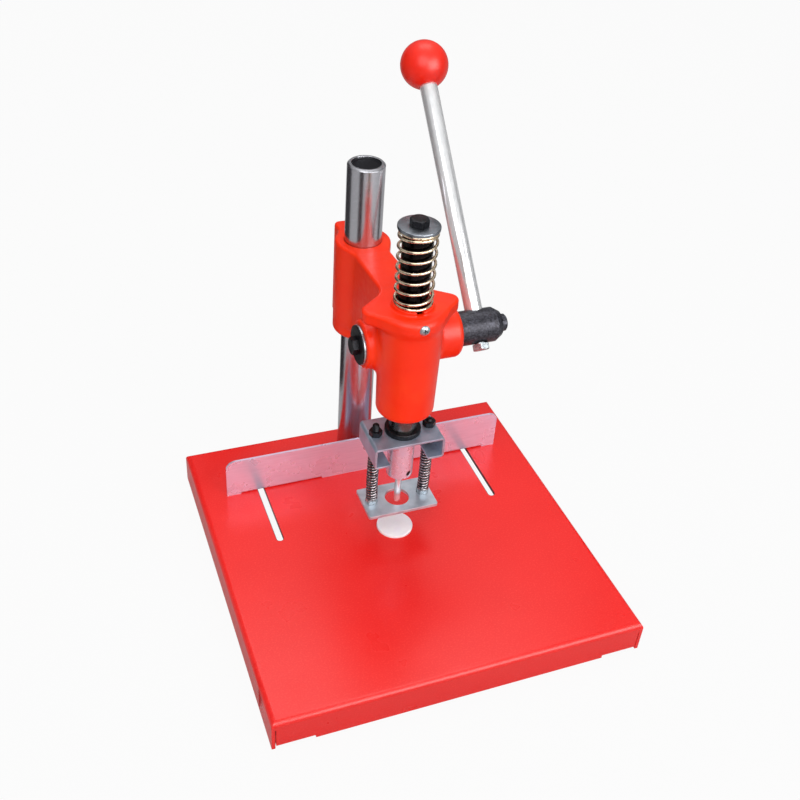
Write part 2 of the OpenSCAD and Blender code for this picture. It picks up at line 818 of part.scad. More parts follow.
// Section of the pinion, one tooth towards the rack
module pinion_outline() {
    circle(r = root_r);
    for (i = [0 : teeth - 1]) rotate(i * 360 / teeth) polygon(tooth_outline());
    circle(r = root_r - 0.2);
}

module pinion_washer() {
    color(black_oxide) translate([-pinion_left, pinion_y, pinion_z]) mirror([1, 0, 0]) along_x()
        washer(2 * pinion_washer_r, bolt_d + 2 * bolt_gap, pinion_washer_t);
}

module pinion_bolt() {
    color(black_oxide) translate([-pinion_left - pinion_washer_t, pinion_y, pinion_z])
        mirror([1, 0, 0]) along_x() hex_bolt(bolt_d, bolt_depth);
}

// Places a part at the foot of the lever, with +Z along the rod
module lever_frame() {
    translate([rod_x, pinion_y, pinion_z]) rotate([-lever_lean, 0, 0]) children();
}

module lever_hub() {
    color(black_oxide) difference() {
        translate([hub_x, pinion_y, pinion_z]) along_x() difference() {
            union() {
                cylinder(r = hub_r, h = hub_len - hub_chamfer);
                translate([0, 0, hub_len - hub_chamfer])
                    cylinder(r1 = hub_r, r2 = hub_r - hub_chamfer * 0.62, h = hub_chamfer);
            }
            translate([0, 0, -cut])
                cylinder(r = hub_seat_d / 2 + thread_gap, h = hub_len + 2 * cut);
        }
        lever_frame() {
            cylinder(r = rod_d / 2 + thread_gap, h = hub_r + cut);
            mirror([0, 0, 1]) cylinder(r = bolt_d / 2 + thread_gap, h = hub_r + cut);
        }
    }
}

module lever_lock_bolt() {
    seat = hub_r + 0.3;
    color(zinc) lever_frame() mirror([0, 0, 1]) translate([0, 0, seat])
        hex_bolt(bolt_d, seat - hub_seat_d / 2 - 0.1);
}

module lever_rod() {
    low = hub_seat_d / 2 + 0.3;
    color(chrome) lever_frame() translate([0, 0, low])
        cylinder(d = rod_d, h = lever_len - ball_r * 0.25 - low);
}

module ball_knob() {
    depth = ball_r * 0.25 + 0.5;
    flat_z = -sqrt(ball_r * ball_r - (rod_d / 2 + 1.5) * (rod_d / 2 + 1.5));
    color(red_paint) lever_frame() translate([0, 0, lever_len]) difference() {
        sphere(r = ball_r);
        translate([0, 0, -depth - 2 * ball_r])
            cylinder(r = rod_d / 2 + thread_gap, h = 2 * ball_r + 0.5);
        translate([0, 0, flat_z - ball_r]) cylinder(r = ball_r, h = ball_r);
    }
}

// Round ram with the rack across its back and the keyway down its front
module ram() {
    edge = 1;
    rack_z = pinion_z + rack_first * rack_pitch;
    color(steel) difference() {
        union() {
            translate([0, 0, ram_shoulder]) cylinder(r = ram_r, h = ram_top - edge - ram_shoulder);
            translate([0, 0, ram_top - edge]) cylinder(r1 = ram_r, r2 = ram_r - edge, h = edge);
            translate([0, 0, spigot_low]) cylinder(d = spigot_d, h = ram_shoulder - spigot_low + edge);
        }
        translate([-ram_r, pitch_line + gear_m, rack_z - rack_pitch / 2])
            cube([ram_d, ram_r, rack_gashes * rack_pitch]);
        for (i = [0 : rack_gashes - 1]) translate([0, 0, rack_z + i * rack_pitch]) rack_gash();
        translate([-key_w / 2, -ram_r - cut, guide_screw_z - 4])
            cube([key_w, key_depth + cut, stroke + 8]);
        translate([0, 0, ram_top - bolt_depth - 2])
            cylinder(r = bolt_d / 2 + thread_gap, h = bolt_depth + 2 + cut);
    }
}

// One straight-sided gap between two rack teeth
module rack_gash() {
    half = (rack_pitch / 2 + backlash / 2) / 2;
    t = tan(pressure);
    deep = 1.25 * gear_m;
    high = gear_m + cut;
    rotate([90, 0, 90]) linear_extrude(ram_d + 2 * cut, center = true) polygon([
        [pitch_line - deep, -half + deep * t], [pitch_line + high, -half - high * t],
        [pitch_line + high, half + high * t], [pitch_line - deep, half - deep * t]
    ]);
}

module ram_collar() {
    edge = 1;
    color(black_oxide) translate([0, 0, bracket_top]) difference() {
        union() {
            cylinder(d = collar_d, h = collar_h - edge);
            translate([0, 0, collar_h - edge])
                cylinder(d1 = collar_d, d2 = collar_d - 2 * edge, h = edge);
        }
        translate([0, 0, -cut]) cylinder(r = spigot_d / 2 + thread_gap, h = collar_h + 2 * cut);
    }
}

module spring_washer() {
    color(zinc) translate([0, 0, ram_top])
        washer(spring_washer_d, bolt_d + 2 * bolt_gap, spring_washer_t);
}

module ram_bolt() {
    color(black_oxide) translate([0, 0, ram_top + spring_washer_t]) hex_bolt(bolt_d, bolt_depth);
}

module return_spring() {
    color(spring_zinc) translate([0, 0, spring_seat])
        coil_spring(return_coils, return_od, return_wire, spring_room);
}

// Rectangular tube with a notch for the chuck in its lower wall
module bracket() {
    r = bracket_corner;
    x = bracket_w / 2 - r;
    z = bracket_h - r;
    inner_x = bracket_w / 2 - bracket_wall;
    color(zinc) translate([0, 0, bracket_low]) difference() {
        rotate([90, 0, 0]) linear_extrude(bracket_d, center = true) difference() {
            belt([[-x, r, r], [x, r, r], [x, z, r], [-x, z, r]]);
            translate([-inner_x, bracket_wall]) square([2 * inner_x, bracket_h - 2 * bracket_wall]);
        }
        translate([0, 0, -cut]) {
            cylinder(d = notch_w, h = bracket_wall + 2 * cut);
            translate([-notch_w / 2, -bracket_d, 0]) cube([notch_w, bracket_d, bracket_wall + 2 * cut]);
            cylinder(r = spigot_d / 2 + thread_gap, h = bracket_h + 2 * cut);
            for (s = [-1, 1]) translate([s * guide_x, 0, 0])
                cylinder(r = guide_d / 2 + running_gap, h = bracket_h + 2 * cut);
        }
    }
}

module chuck() {
    top = bracket_top - bracket_wall;
    edge = chuck_chamfer;
    color(steel) difference() {
        union() {
            translate([0, 0, chuck_low])
                cylinder(d1 = chuck_d - 2 * edge, d2 = chuck_d, h = edge);
            translate([0, 0, chuck_low + edge]) cylinder(d = chuck_d, h = top - chuck_low - edge);
        }
        translate([0, 0, spigot_low - 0.5])
            cylinder(r = spigot_d / 2 + thread_gap, h = top - spigot_low + 0.5 + cut);
        translate([0, 0, chuck_low - cut])
            cylinder(r = punch_d / 2 + thread_gap, h = spigot_low - chuck_low + cut);
        chuck_screw_frame() cylinder(r = chuck_screw_d / 2 + thread_gap, h = chuck_d);
    }
}

module chuck_screw_frame() {
    translate([0, 0, chuck_screw_z]) rotate([0, 0, chuck_screw_turn]) along_x() children();
}

module chuck_screw() {
    low = punch_d / 2 + 0.1;
    high = chuck_d / 2 - 0.6;
    color(black_oxide) chuck_screw_frame() difference() {
        translate([0, 0, low]) cylinder(d = chuck_screw_d, h = high - low);
        translate([0, 0, high]) cube([1, chuck_screw_d + cut, 3], center = true);
    }
}

module punch_pin() {
    shank_top = spigot_low - 1;
    color(chrome) translate([0, 0, plate_z]) cylinder(d = punch_d, h = shank_top - plate_z);
}

module stripper_plate() {
    r = 2;
    x = plate_w / 2 - r;
    y = plate_d / 2 - r;
    color(zinc) translate([0, 0, plate_z]) difference() {
        linear_extrude(plate_t) belt([[-x, -y, r], [x, -y, r], [x, y, r], [-x, y, r]]);
        translate([0, 0, -cut]) {
            cylinder(d = window_d, h = plate_t + 2 * cut);
            for (s = [-1, 1]) translate([s * guide_x, 0, 0])
                cylinder(r = guide_d / 2 + thread_gap, h = plate_t + 2 * cut);
        }
    }
}

module guide_rods() {
    edge = 0.8;
    color(black_oxide) for (s = [-1, 1]) let (top = s < 0 ? rod_top : rod_top - rod_step)
        translate([s * guide_x, 0, 0]) {
            translate([0, 0, plate_z]) cylinder(d = guide_d, h = top - edge - plate_z);
            translate([0, 0, top - edge]) cylinder(d1 = guide_d, d2 = guide_d - 2 * edge, h = edge);
        }
}

module nut_pair(z, turn) {
    for (s = [-1, 1]) translate([s * guide_x, 0, z]) rotate([0, 0, turn]) difference() {
        hexagon(guide_d, guide_d * nut_ratio);
        translate([0, 0, -cut]) cylinder(r = guide_d / 2 + thread_gap, h = guide_d + 2 * cut);
    }
}

module guide_nuts() { color(black_oxide) nut_pair(bracket_top, guide_nut_turn); }

module plate_nuts() { color(zinc) nut_pair(plate_top, plate_nut_turn); }

module stripper_spring(side) {
    translate([side * guide_x, 0, stripper_seat])
        coil_spring(stripper_coils, stripper_od, stripper_wire, stripper_room);
}

module stripper_spring_left() { color(black_oxide) stripper_spring(-1); }

module stripper_spring_right() { color(black_oxide) stripper_spring(1); }

base();
anvil_block();
cutting_pad();
column();
column_cap();
column_plug();
column_foot();
column_washer();
column_bolt();
fence();
fence_bolts();
fence_washers();
fence_wing_nuts();
head_casting();
clamp_bolts();
clamp_washers();
guide_screw();
pinion_shaft();
pinion_washer();
pinion_bolt();
lever_hub();
lever_lock_bolt();
lever_rod();
ball_knob();
ram();
ram_collar();
spring_washer();
ram_bolt();
return_spring();
bracket();
chuck();
chuck_screw();
punch_pin();
stripper_plate();
guide_rods();
guide_nuts();
plate_nuts();
stripper_spring_left();
stripper_spring_right();
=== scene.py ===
import math

import bmesh
import bpy
import numpy as np
from mathutils import Matrix, Vector


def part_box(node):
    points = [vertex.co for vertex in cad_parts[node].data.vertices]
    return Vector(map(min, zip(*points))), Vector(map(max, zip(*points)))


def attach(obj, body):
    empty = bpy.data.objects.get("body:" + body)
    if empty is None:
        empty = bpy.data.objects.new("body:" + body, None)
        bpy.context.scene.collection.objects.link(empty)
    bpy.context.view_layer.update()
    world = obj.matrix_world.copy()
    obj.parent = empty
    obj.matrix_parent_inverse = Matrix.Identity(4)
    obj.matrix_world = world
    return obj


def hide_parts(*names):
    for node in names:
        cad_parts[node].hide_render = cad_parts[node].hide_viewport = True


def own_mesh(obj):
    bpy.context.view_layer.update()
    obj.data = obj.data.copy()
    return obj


# Looks of the manual hole punching press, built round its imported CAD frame.
# Sizes are millimetres, and become metres where a piece is made. The stage's are metres.
MM = 0.001

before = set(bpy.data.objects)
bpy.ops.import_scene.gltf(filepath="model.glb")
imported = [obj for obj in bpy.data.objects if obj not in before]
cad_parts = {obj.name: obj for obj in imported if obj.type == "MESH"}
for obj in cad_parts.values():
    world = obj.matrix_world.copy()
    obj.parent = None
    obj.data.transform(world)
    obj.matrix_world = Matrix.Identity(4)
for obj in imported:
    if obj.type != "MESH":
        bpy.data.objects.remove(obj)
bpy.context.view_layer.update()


def low(node):
    """Lowest corner of a CAD node, in millimetres."""
    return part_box(node)[0] / MM


def high(node):
    """Highest corner of a CAD node, in millimetres."""
    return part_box(node)[1] / MM


def mid(node):
    """Centre of the box of a CAD node, in millimetres."""
    return (low(node) + high(node)) / 2


def heights(node):
    """Lowest and highest Z of a CAD node, in millimetres."""
    return low(node).z, high(node).z


# Places and sizes that many pieces share
COLUMN_Y = mid("column").y
COLUMN_R = high("column").x
COLUMN_WALL = 3.5
PINION_Y = mid("pinion_washer").y
PINION_Z = mid("pinion_washer").z
ROD_X = mid("lever_rod").x
LEVER_LEAN = 43
LEVER_LENGTH = 226.0
BALL_R = 20.5
SEAT_H = 3.5
HEAD_TOP = high("head_casting").z - SEAT_H
GUIDE_X = 24.0
SLOT_X = 103.0
SLOT_MID_Y = 67.0
SLOT_HALF = 53.0

# M8 and M6 screws
M8_FLATS = 13.2
M8_HEAD = 5.44
M8_R = 4.0
M8_HOLE_R = 4.25
M6_FLATS = 9.9
M6_NUT = 5.1
M6_R = 3.0
M6_PITCH = 1.0
M6_THREAD = 0.5

# Springs: turns, mean radius and wire
RETURN_TURNS = 9
RETURN_R = 14.5
RETURN_WIRE = 2.4
STRIPPER_TURNS = 18
STRIPPER_R = 4.4
STRIPPER_WIRE = 1.6
STRIPPER_BOW = 0.5

# Camera at the photograph's angle
FOCAL_PIXELS = 1035.85
PHOTO_PIXELS = 800
CAMERA_PLACE = Vector((-270.93, -621.21, 690.40))
CAMERA_AZIMUTH = math.radians(-23.224)
CAMERA_ELEVATION = math.radians(37.362)
CAMERA_ROLL = math.radians(4.552)


# Geometry

class Shape:
    """Collects closed surfaces in millimetres and turns them into one piece."""

    def __init__(self):
        self.points = []
        self.faces = []

    def add(self, surface, matrix=None):
        points, faces = surface
        start = len(self.points)
        if matrix is None:
            matrix = Matrix.Identity(4)
        self.points += [matrix @ Vector(p) for p in points]
        self.faces += [[start + i for i in face] for face in faces]
        return self

    def make(self, name, body, slot, material, replaced=(), sharp=35):
        mesh = bpy.data.meshes.new(name)
        mesh.from_pydata([p * MM for p in self.points], [], self.faces)
        tidy_normals(mesh, sharp)
        return finish_piece(mesh, name, body, material, replaced)


def new_object(name, data):
    made = bpy.data.objects.new(name, data)
    bpy.context.scene.collection.objects.link(made)
    return made


def shade_smooth(mesh):
    mesh.polygons.foreach_set("use_smooth", [True] * len(mesh.polygons))


def tidy_normals(mesh, sharp):
    """Turns all faces outwards and keeps edges sharper than the angle crisp."""
    work = bmesh.new()
    work.from_mesh(mesh)
    bmesh.ops.recalc_face_normals(work, faces=work.faces)
    work.to_mesh(mesh)
    work.free()
    shade_smooth(mesh)
    mesh.set_sharp_from_angle(angle=math.radians(sharp))


def weighted_normals(mesh):
    """Smooth shading in which large flat faces stay flat and the rounds between them curve."""
    count = len(mesh.polygons)
    normals = np.empty(count * 3)
    mesh.polygons.foreach_get("normal", normals)
    areas = np.empty(count)
    mesh.polygons.foreach_get("area", areas)
    corners = np.empty(len(mesh.loops), int)
    mesh.loops.foreach_get("vertex_index", corners)
    totals = np.empty(count, int)
    mesh.polygons.foreach_get("loop_total", totals)
    weighted = np.repeat(normals.reshape(-1, 3) * areas[:, None], totals, axis=0)
    summed = np.zeros((len(mesh.vertices), 3))
    np.add.at(summed, corners, weighted)
    summed /= np.maximum(np.linalg.norm(summed, axis=1), 1e-12)[:, None]
    shade_smooth(mesh)
    mesh.normals_split_custom_set_from_vertices(summed.tolist())


def finish_piece(mesh, name, body, material, replaced=()):
    """An object for the mesh that rides on the body and stands for the CAD nodes."""
    piece = new_object(name, mesh)
    mesh.materials.append(material)
    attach(piece, body)
    if replaced:
        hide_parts(*replaced)
    return piece


def move(x, y, z):
    return Matrix.Translation((x, y, z))


def turn(degrees, axis):
    return Matrix.Rotation(math.radians(degrees), 4, axis)


def rounded(corners):
    """A polyline whose corners (a, b, radius) are rounded with arcs."""
    steps = 4
    path = []
    for i, (a, b, radius) in enumerate(corners):
        here = Vector((a, b))
        before = Vector(corners[i - 1][:2])
        after = Vector(corners[(i + 1) % len(corners)][:2])
        if radius == 0:
            path.append(here)
            continue
        to_before = (before - here).normalized()
        to_after = (after - here).normalized()
        half = to_before.angle(to_after) / 2
        reach = radius / math.tan(half)
        centre = here + (to_before + to_after).normalized() * radius / math.sin(half)
        start = here + to_before * reach - centre
        sweep = math.pi - 2 * half
        if to_before.cross(to_after) > 0:
            sweep = -sweep
        for k in range(steps + 1):
            path.append(centre + Matrix.Rotation(sweep * k / steps, 2) @ start)
    return path


def lathe(corners, sides=64, ring=False):
    """A profile (radius, height, rounding) turned round Z. A ring's profile is a closed outline."""
    profile = rounded(corners)
    points = []
    rows = []
    for p in profile:
        if p.x < 1e-6:
            rows.append([len(points)])
            points.append((0, 0, p.y))
            continue
        rows.append(list(range(len(points), len(points) + sides)))
        for i in range(sides):
            a = 2 * math.pi * i / sides
            points.append((p.x * math.cos(a), p.x * math.sin(a), p.y))
    pairs = list(zip(rows, rows[1:]))
    if ring:
        pairs.append((rows[-1], rows[0]))
    faces = []
    for lower, upper in pairs:
        for i in range(sides):
            j = (i + 1) % sides
            if len(lower) == 1 and len(upper) == 1:
                break
            if len(lower) == 1:
                faces.append((lower[0], upper[i], upper[j]))
            elif len(upper) == 1:
                faces.append((lower[i], lower[j], upper[0]))
            else:
                faces.append((lower[i], lower[j], upper[j], upper[i]))
    return points, faces


def washer(outer, inner, thick, edge=0.4):
    """A stamped washer whose upper outer edge is rounded more than the lower one."""
    return lathe([
        (inner, 0, 0.1), (outer, 0, 0.15), (outer, thick, edge), (inner, thick, 0.2)
    ], ring=True)


def hexagon_radius(angle, flats):
    """Distance from the axis to a hexagon's side, with slightly blunt corners."""
    within = (angle + math.pi / 6) % (math.pi / 3) - math.pi / 6
    return min(flats / 2 / math.cos(within), flats * 0.572)


def hexagon(flats, height, both=False, face=0.0):
    """A turned and milled hexagon: conical chamfer on top, and below too where both is set.
    A washer face of the height face stands under it."""
    sides = 120
    inner = flats * 0.475
    slope = math.tan(math.radians(30))
    crown = 0.05
    angles = [2 * math.pi * i / sides for i in range(sides)]
    radii = [hexagon_radius(a, flats) for a in angles]
    rows = []
    if face:
        rows += [[(inner, 0)] * sides, [(inner, face)] * sides]
    drop = [max(0, r - inner) * slope for r in radii]
    if both:
        rows.append([(inner, face)] * sides)
        rows.append([(r, face + d) for r, d in zip(radii, drop)])
    else:
        rows.append([(r, face) for r in radii])
    rows.append([(r, height - d) for r, d in zip(radii, drop)])
    rows.append([(inner, height)] * sides)
    rows.append([(inner * 0.92, height + crown)] * sides)
    points = [(0, 0, rows[0][0][1])]
    for row in rows:
        points += [
            (r * math.cos(a), r * math.sin(a), z) for (r, z), a in zip(row, angles)
        ]
    points.append((0, 0, height + crown))
    last = len(points) - 1
    faces = []
    for i in range(sides):
        j = (i + 1) % sides
        faces.append((0, 1 + i, 1 + j))
        for k in range(len(rows) - 1):
            a = 1 + k * sides
            b = a + sides
            faces.append((a + i, a + j, b + j, b + i))
        a = last - sides
        faces.append((a + i, a + j, last))
    return points, faces


def screw_thread(radius, length, pitch, depth):
    """A threaded rod that stands on zero, its upper end chamfered and slightly domed."""
    sides = 24
    per_turn = 5
    blunt = 1.0
    dome = 0.25
    rows = int(length / pitch * per_turn)
    points = []
    for k in range(rows + 1):
        z = length * k / rows
        limit = radius - max(0, z - length + blunt)
        for i in range(sides):
            phase = (z / pitch - i / sides) % 1
            r = min(radius - depth * (1 - abs(2 * phase - 1)), limit)
            a = 2 * math.pi * i / sides
            points.append((r * math.cos(a), r * math.sin(a), z))
    faces = []
    for k in range(rows):
        for i in range(sides):
            a = k * sides + i
            b = k * sides + (i + 1) % sides
            faces.append((a, b, b + sides, a + sides))
    bottom = len(points)
    points.append((0, 0, 0))
    points.append((0, 0, length + dome))
    for i in range(sides):
        j = (i + 1) % sides
        faces.append((bottom, i, j))
        faces.append((rows * sides + i, rows * sides + j, bottom + 1))
    return points, faces


def tube(path, radius, sides):
    """A round wire along the path, with slightly rounded ends."""
    count = len(path)
    points = []
    normal = Vector((0, 0, 1))
    first = (path[1] - path[0]).normalized()
    last = (path[-1] - path[-2]).normalized()
    edge = radius * 0.25
    stations = [(path[0] - first * edge, first, 0.75)]
    for i in range(count):
        along = (path[min(i + 1, count - 1)] - path[max(i - 1, 0)]).normalized()
        stations.append((path[i], along, 1.0))
    stations.append((path[-1] + last * edge, last, 0.75))
    for place, along, share in stations:
        side = along.cross(normal).normalized()
        up = side.cross(along)
        for k in range(sides):
            a = 2 * math.pi * k / sides
            offset = side * math.cos(a) + up * math.sin(a)
            points.append(place + offset * radius * share)
    faces = [list(range(sides))]
    for i in range(len(stations) - 1):
        for k in range(sides):
            a = i * sides + k
            b = i * sides + (k + 1) % sides
            faces.append((a, b, b + sides, a + sides))
    faces.append([len(points) - sides + k for k in range(sides)])
    return points, faces


def coil(turns, radius, wire, room, start, per_turn, bow=None):
    """Centre line of a compression spring with closed ends that fills the height room.
    A bow is how far its middle stands to one side."""
    flat = 0.6
    lift = 0.8
    closed = flat + lift
    climb = wire * 1.12
    rise = room - wire
    path = []
    for i in range(turns * per_turn + 1):
        u = i / per_turn
        if u < flat:
            z = 0.0
        elif u < closed:
            z = climb * smooth_step((u - flat) / lift)
        elif u < turns - closed:
            z = climb + (rise - 2 * climb) * (u - closed) / (turns - 2 * closed)
        elif u < turns - flat:
            z = rise - climb + climb * smooth_step((u - turns + closed) / lift)
        else:
            z = rise
        a = 2 * math.pi * u + start
        p = Vector((radius * math.cos(a), radius * math.sin(a), wire / 2 + z))
        if bow:
            p += bow * math.sin(math.pi * z / rise)
        path.append(p)
    return path


def smooth_step(t):
    return t * t * (3 - 2 * t)


def softened(node, name, body, material, width, steps=2):
    """A copy of a CAD node whose sharp edges are broken with small rounds."""
    work = bmesh.new()
    work.from_mesh(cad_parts[node].data)
    bmesh.ops.remove_doubles(work, verts=work.verts, dist=1e-6)
    bmesh.ops.dissolve_limit(
        work, angle_limit=0.002, verts=work.verts, edges=work.edges, delimit={"NORMAL"}
    )
    limit = math.radians(35)
    edges = [
        e for e in work.edges
        if len(e.link_faces) == 2 and e.calc_face_angle(0) > limit
    ]
    bmesh.ops.bevel(
        work, geom=edges, offset=width * MM, offset_type="OFFSET", segments=steps,
        profile=0.5, affect="EDGES", clamp_overlap=True
    )
    mesh = bpy.data.meshes.new(name)
    work.to_mesh(mesh)
    work.free()
    weighted_normals(mesh)
    return finish_piece(mesh, name, body, material, (node,))


# Materials

def srgb(red, green, blue):
    """A screen colour, 0 to 255, as the linear colour of a shader."""
    def linear(value):
        share = value / 255
        if share <= 0.04045:
            return share / 12.92
        return ((share + 0.055) / 1.055) ** 2.4
    return (linear(red), linear(green), linear(blue), 1.0)


# Noise seldom goes beyond these values
NOISE_LOW = 0.3
NOISE_HIGH = 0.7


def math_node(tree, operation, first, second=0.0):
    """A maths node on two values, which are numbers or sockets."""
    node = tree.nodes.new("ShaderNodeMath")
    node.operation = operation
    for socket, value in zip(node.inputs, (first, second)):
        if isinstance(value, float):
            socket.default_value = value
        else:
            tree.links.new(value, socket)
    return node.outputs["Value"]


class Finish:
    """A material with one Principled shader, and the nodes that feed it."""

    def __init__(self, name, metallic=0.0, **sockets):
        self.material = bpy.data.materials.new(name)
        self.material.use_nodes = True
        self.tree = self.material.node_tree
        self.shader = self.tree.nodes["Principled BSDF"]
        self.shader.inputs["Metallic"].default_value = metallic
        for socket, value in sockets.items():
            self.shader.inputs[socket.replace("_", " ")].default_value = value
        self.place = self.new("TexCoord").outputs["Object"]
        self.normal = None

    def new(self, kind, **inputs):
        """A node with those values in its inputs."""
        node = self.tree.nodes.new("ShaderNode" + kind)
        for name, value in inputs.items():
            node.inputs[name.replace("_", " ")].default_value = value
        return node

    def link(self, a, b):
        self.tree.links.new(a, b)

    def stretched(self, stretch):
        node = self.new("Mapping", Scale=stretch)
        self.link(self.place, node.inputs["Vector"])
        return node.outputs["Vector"]

    def noise(self, grain, detail=3.0, rough=0.5, stretch=(1, 1, 1)):
        """Noise whose grains are about that many millimetres."""
        node = self.new("TexNoise", Scale=1 / (grain * MM), Detail=detail, Roughness=rough)
        self.link(self.stretched(stretch), node.inputs["Vector"])
        return node.outputs["Fac"]

    def cells(self, size):
        """Flat patches about that many millimetres wide, each with a value of its own."""
        node = self.new("TexVoronoi", Scale=1 / (size * MM))
        self.link(self.place, node.inputs["Vector"])
        split = self.new("SeparateColor")
        self.link(node.outputs["Color"], split.inputs["Color"])
        return split.outputs["Red"]

    def ramp(self, socket, *stops):
        """Colours (place, colour) laid along a value."""
        node = self.new("ValToRGB")
        elements = node.color_ramp.elements
        while len(elements) < len(stops):
            elements.new(0.5)
        for element, (place, colour) in zip(elements, stops):
            element.position = place
            element.color = colour
        self.link(socket, node.inputs["Fac"])
        return node.outputs["Color"]

    def tones(self, socket, dark, bright):
        """The two colours laid along a noise."""
        return self.ramp(socket, (NOISE_LOW, dark), (NOISE_HIGH, bright))

    def span(self, socket, start, end, low_in=NOISE_LOW, high_in=NOISE_HIGH):
        """The value moved from low_in...high_in to start...end."""
        node = self.new("MapRange", From_Min=low_in, From_Max=high_in, To_Min=start, To_Max=end)
        self.link(socket, node.inputs["Value"])
        return node.outputs["Result"]

    def math(self, operation, first, second=0.0):
        return math_node(self.tree, operation, first, second)

    def axes(self):
        """The X, Y and Z of the place, in metres."""
        node = self.new("SeparateXYZ")
        self.link(self.place, node.inputs["Vector"])
        return node.outputs

    def above(self, height):
        """0 below that many millimetres, 1 above."""
        fade = 1.5
        return self.span(self.axes()["Z"], 0.0, 1.0, height * MM, (height + fade) * MM)

    def blend(self, share, first, second):
        """Second laid over first by the share. Both are colours or sockets."""
        node = self.new("Mix")
        node.data_type = "RGBA"
        for name, value in (("A", first), ("B", second)):
            socket = next(s for s in node.inputs if s.name == name and s.type == "RGBA")
            if isinstance(value, tuple):
                socket.default_value = value
            else:
                self.link(value, socket)
        self.link(share, node.inputs["Factor"])
        return next(s for s in node.outputs if s.type == "RGBA")

    def colour(self, socket):
        self.link(socket, self.shader.inputs["Base Color"])

    def roughness(self, socket):
        self.link(socket, self.shader.inputs["Roughness"])

    def bump(self, height, depth):
        """Relief of that many millimetres, laid over any earlier one."""
        node = self.new("Bump", Strength=1.0, Distance=depth * MM)
        self.link(height, node.inputs["Height"])
        if self.normal:
            self.link(self.normal, node.inputs["Normal"])
        self.normal = node.outputs["Normal"]
        self.link(self.normal, self.shader.inputs["Normal"])


def near_slots(made, reach):
    """1 within that many millimetres of the middle line of a fence slot, else 0."""
    axes = made.axes()
    across = made.math("SUBTRACT", made.math("ABSOLUTE", axes["X"]), SLOT_X * MM)
    from_mid = made.math("SUBTRACT", axes["Y"], SLOT_MID_Y * MM)
    beyond = made.math("SUBTRACT", made.math("ABSOLUTE", from_mid), SLOT_HALF * MM)
    along = made.math("MAXIMUM", beyond, 0.0)
    squares = made.math(
        "ADD", made.math("MULTIPLY", across, across), made.math("MULTIPLY", along, along)
    )
    return made.math("LESS_THAN", squares, (reach * MM) ** 2)


def powder_coat():
    """Satin red powder coat with a fine orange peel, and painted shade along the walls and rims of
    the fence slots.
    """
    made = Finish("red_powder_coat", Specular_IOR_Level=0.42)
    broad = made.noise(70, detail=2)
    tone = made.tones(broad, srgb(229, 27, 24), srgb(234, 31, 28))
    fleck = made.ramp(made.noise(1.5, detail=2), (0.5, (0, 0, 0, 1)), (0.72, (1, 1, 1, 1)))
    coat = made.blend(made.span(fleck, 0.0, 0.26, 0, 1), tone, srgb(255, 82, 70))
    # Painted shade: a dark red along the walls and rims of the fence slots.
    made.colour(made.blend(near_slots(made, 3.5), coat, srgb(96, 34, 38)))
    made.roughness(made.span(made.noise(40), 0.27, 0.31))
    made.bump(made.noise(1.3, detail=2), 0.045)
    return made.material


def casting_enamel():
    """Gloss red enamel over a sand casting: soft lumps show through."""
    made = Finish("red_casting_enamel", Specular_IOR_Level=0.3)
    broad = made.noise(30, detail=3)
    made.colour(made.ramp(
        broad, (0.3, srgb(250, 43, 6)), (0.55, srgb(254, 50, 9)), (0.75, srgb(255, 60, 14))
    ))
    made.roughness(made.span(made.noise(5), 0.3, 0.42))
    made.bump(made.noise(9, detail=2), 0.1)
    made.bump(made.noise(2.2, detail=3, rough=0.6), 0.035)
    return made.material


def chrome():
    """Ground and chromed bar with faint grinding rings."""
    made = Finish("ground_chrome", metallic=1.0)
    grain = made.noise(2.0, detail=2, stretch=(1, 1, 14))
    made.colour(made.tones(grain, srgb(184, 184, 190), srgb(200, 200, 206)))
    made.roughness(made.span(grain, 0.2, 0.28))
    made.bump(grain, 0.002)
    return made.material


def rod_chrome():
    """Bright drawn bar with a thin chrome layer."""
    made = Finish("rod_chrome", metallic=0.6)
    grain = made.noise(6.0, detail=3)
    made.colour(made.tones(grain, srgb(240, 242, 244), srgb(248, 249, 250)))
    made.roughness(made.span(grain, 0.14, 0.22))
    made.bump(made.noise(1.2, detail=2), 0.002)
    return made.material


def turned_steel(name, dark, bright, rough_low, rough_high, metallic=1.0, shade_above=None):
    """Steel off the lathe: fine rings round Z. Painted shade makes it near-black above a height,
    where it runs inside a spring.
    """
    made = Finish(name, metallic=metallic)
    rings = made.noise(1.5, detail=3, stretch=(0.15, 0.15, 5))
    blotch = made.noise(7, detail=3)
    tone = made.tones(rings, dark, bright)
    toned = made.blend(made.span(blotch, 0.0, 0.35), tone, dark)
    if shade_above:
        # Painted shade: near-black above the height.
        toned = made.blend(made.above(shade_above), toned, srgb(30, 26, 28))
    made.colour(toned)
    made.roughness(made.span(blotch, rough_low, rough_high))
    made.bump(rings, 0.003)
    return made.material


def sheet_steel():
    """Satin cold-rolled sheet, rolled along X."""
    made = Finish("satin_sheet", metallic=0.55)
    rolled = made.noise(1.2, detail=4, stretch=(0.06, 1, 1))
    cloud = made.noise(28, detail=3)
    tone = made.tones(rolled, srgb(222, 210, 236), srgb(236, 224, 248))
    made.colour(made.blend(made.span(cloud, 0.0, 0.4), tone, srgb(216, 209, 232)))
    made.roughness(made.span(cloud, 0.24, 0.34))
    made.bump(rolled, 0.001)
    return made.material


def galvanised(name, dark, bright):
    """Zinc-plated tube and plate: blue-grey with soft spangles and scuffs."""
    made = Finish(name, metallic=0.65)
    spangle = made.cells(3.5)
    cloud = made.noise(9, detail=4)
    tone = made.tones(cloud, dark, bright)
    made.colour(made.blend(made.span(spangle, 0.0, 0.3, 0, 1), tone, bright))
    made.roughness(made.span(cloud, 0.3, 0.44))
    made.bump(made.noise(1.6, detail=4, stretch=(0.2, 1, 1)), 0.01)
    return made.material


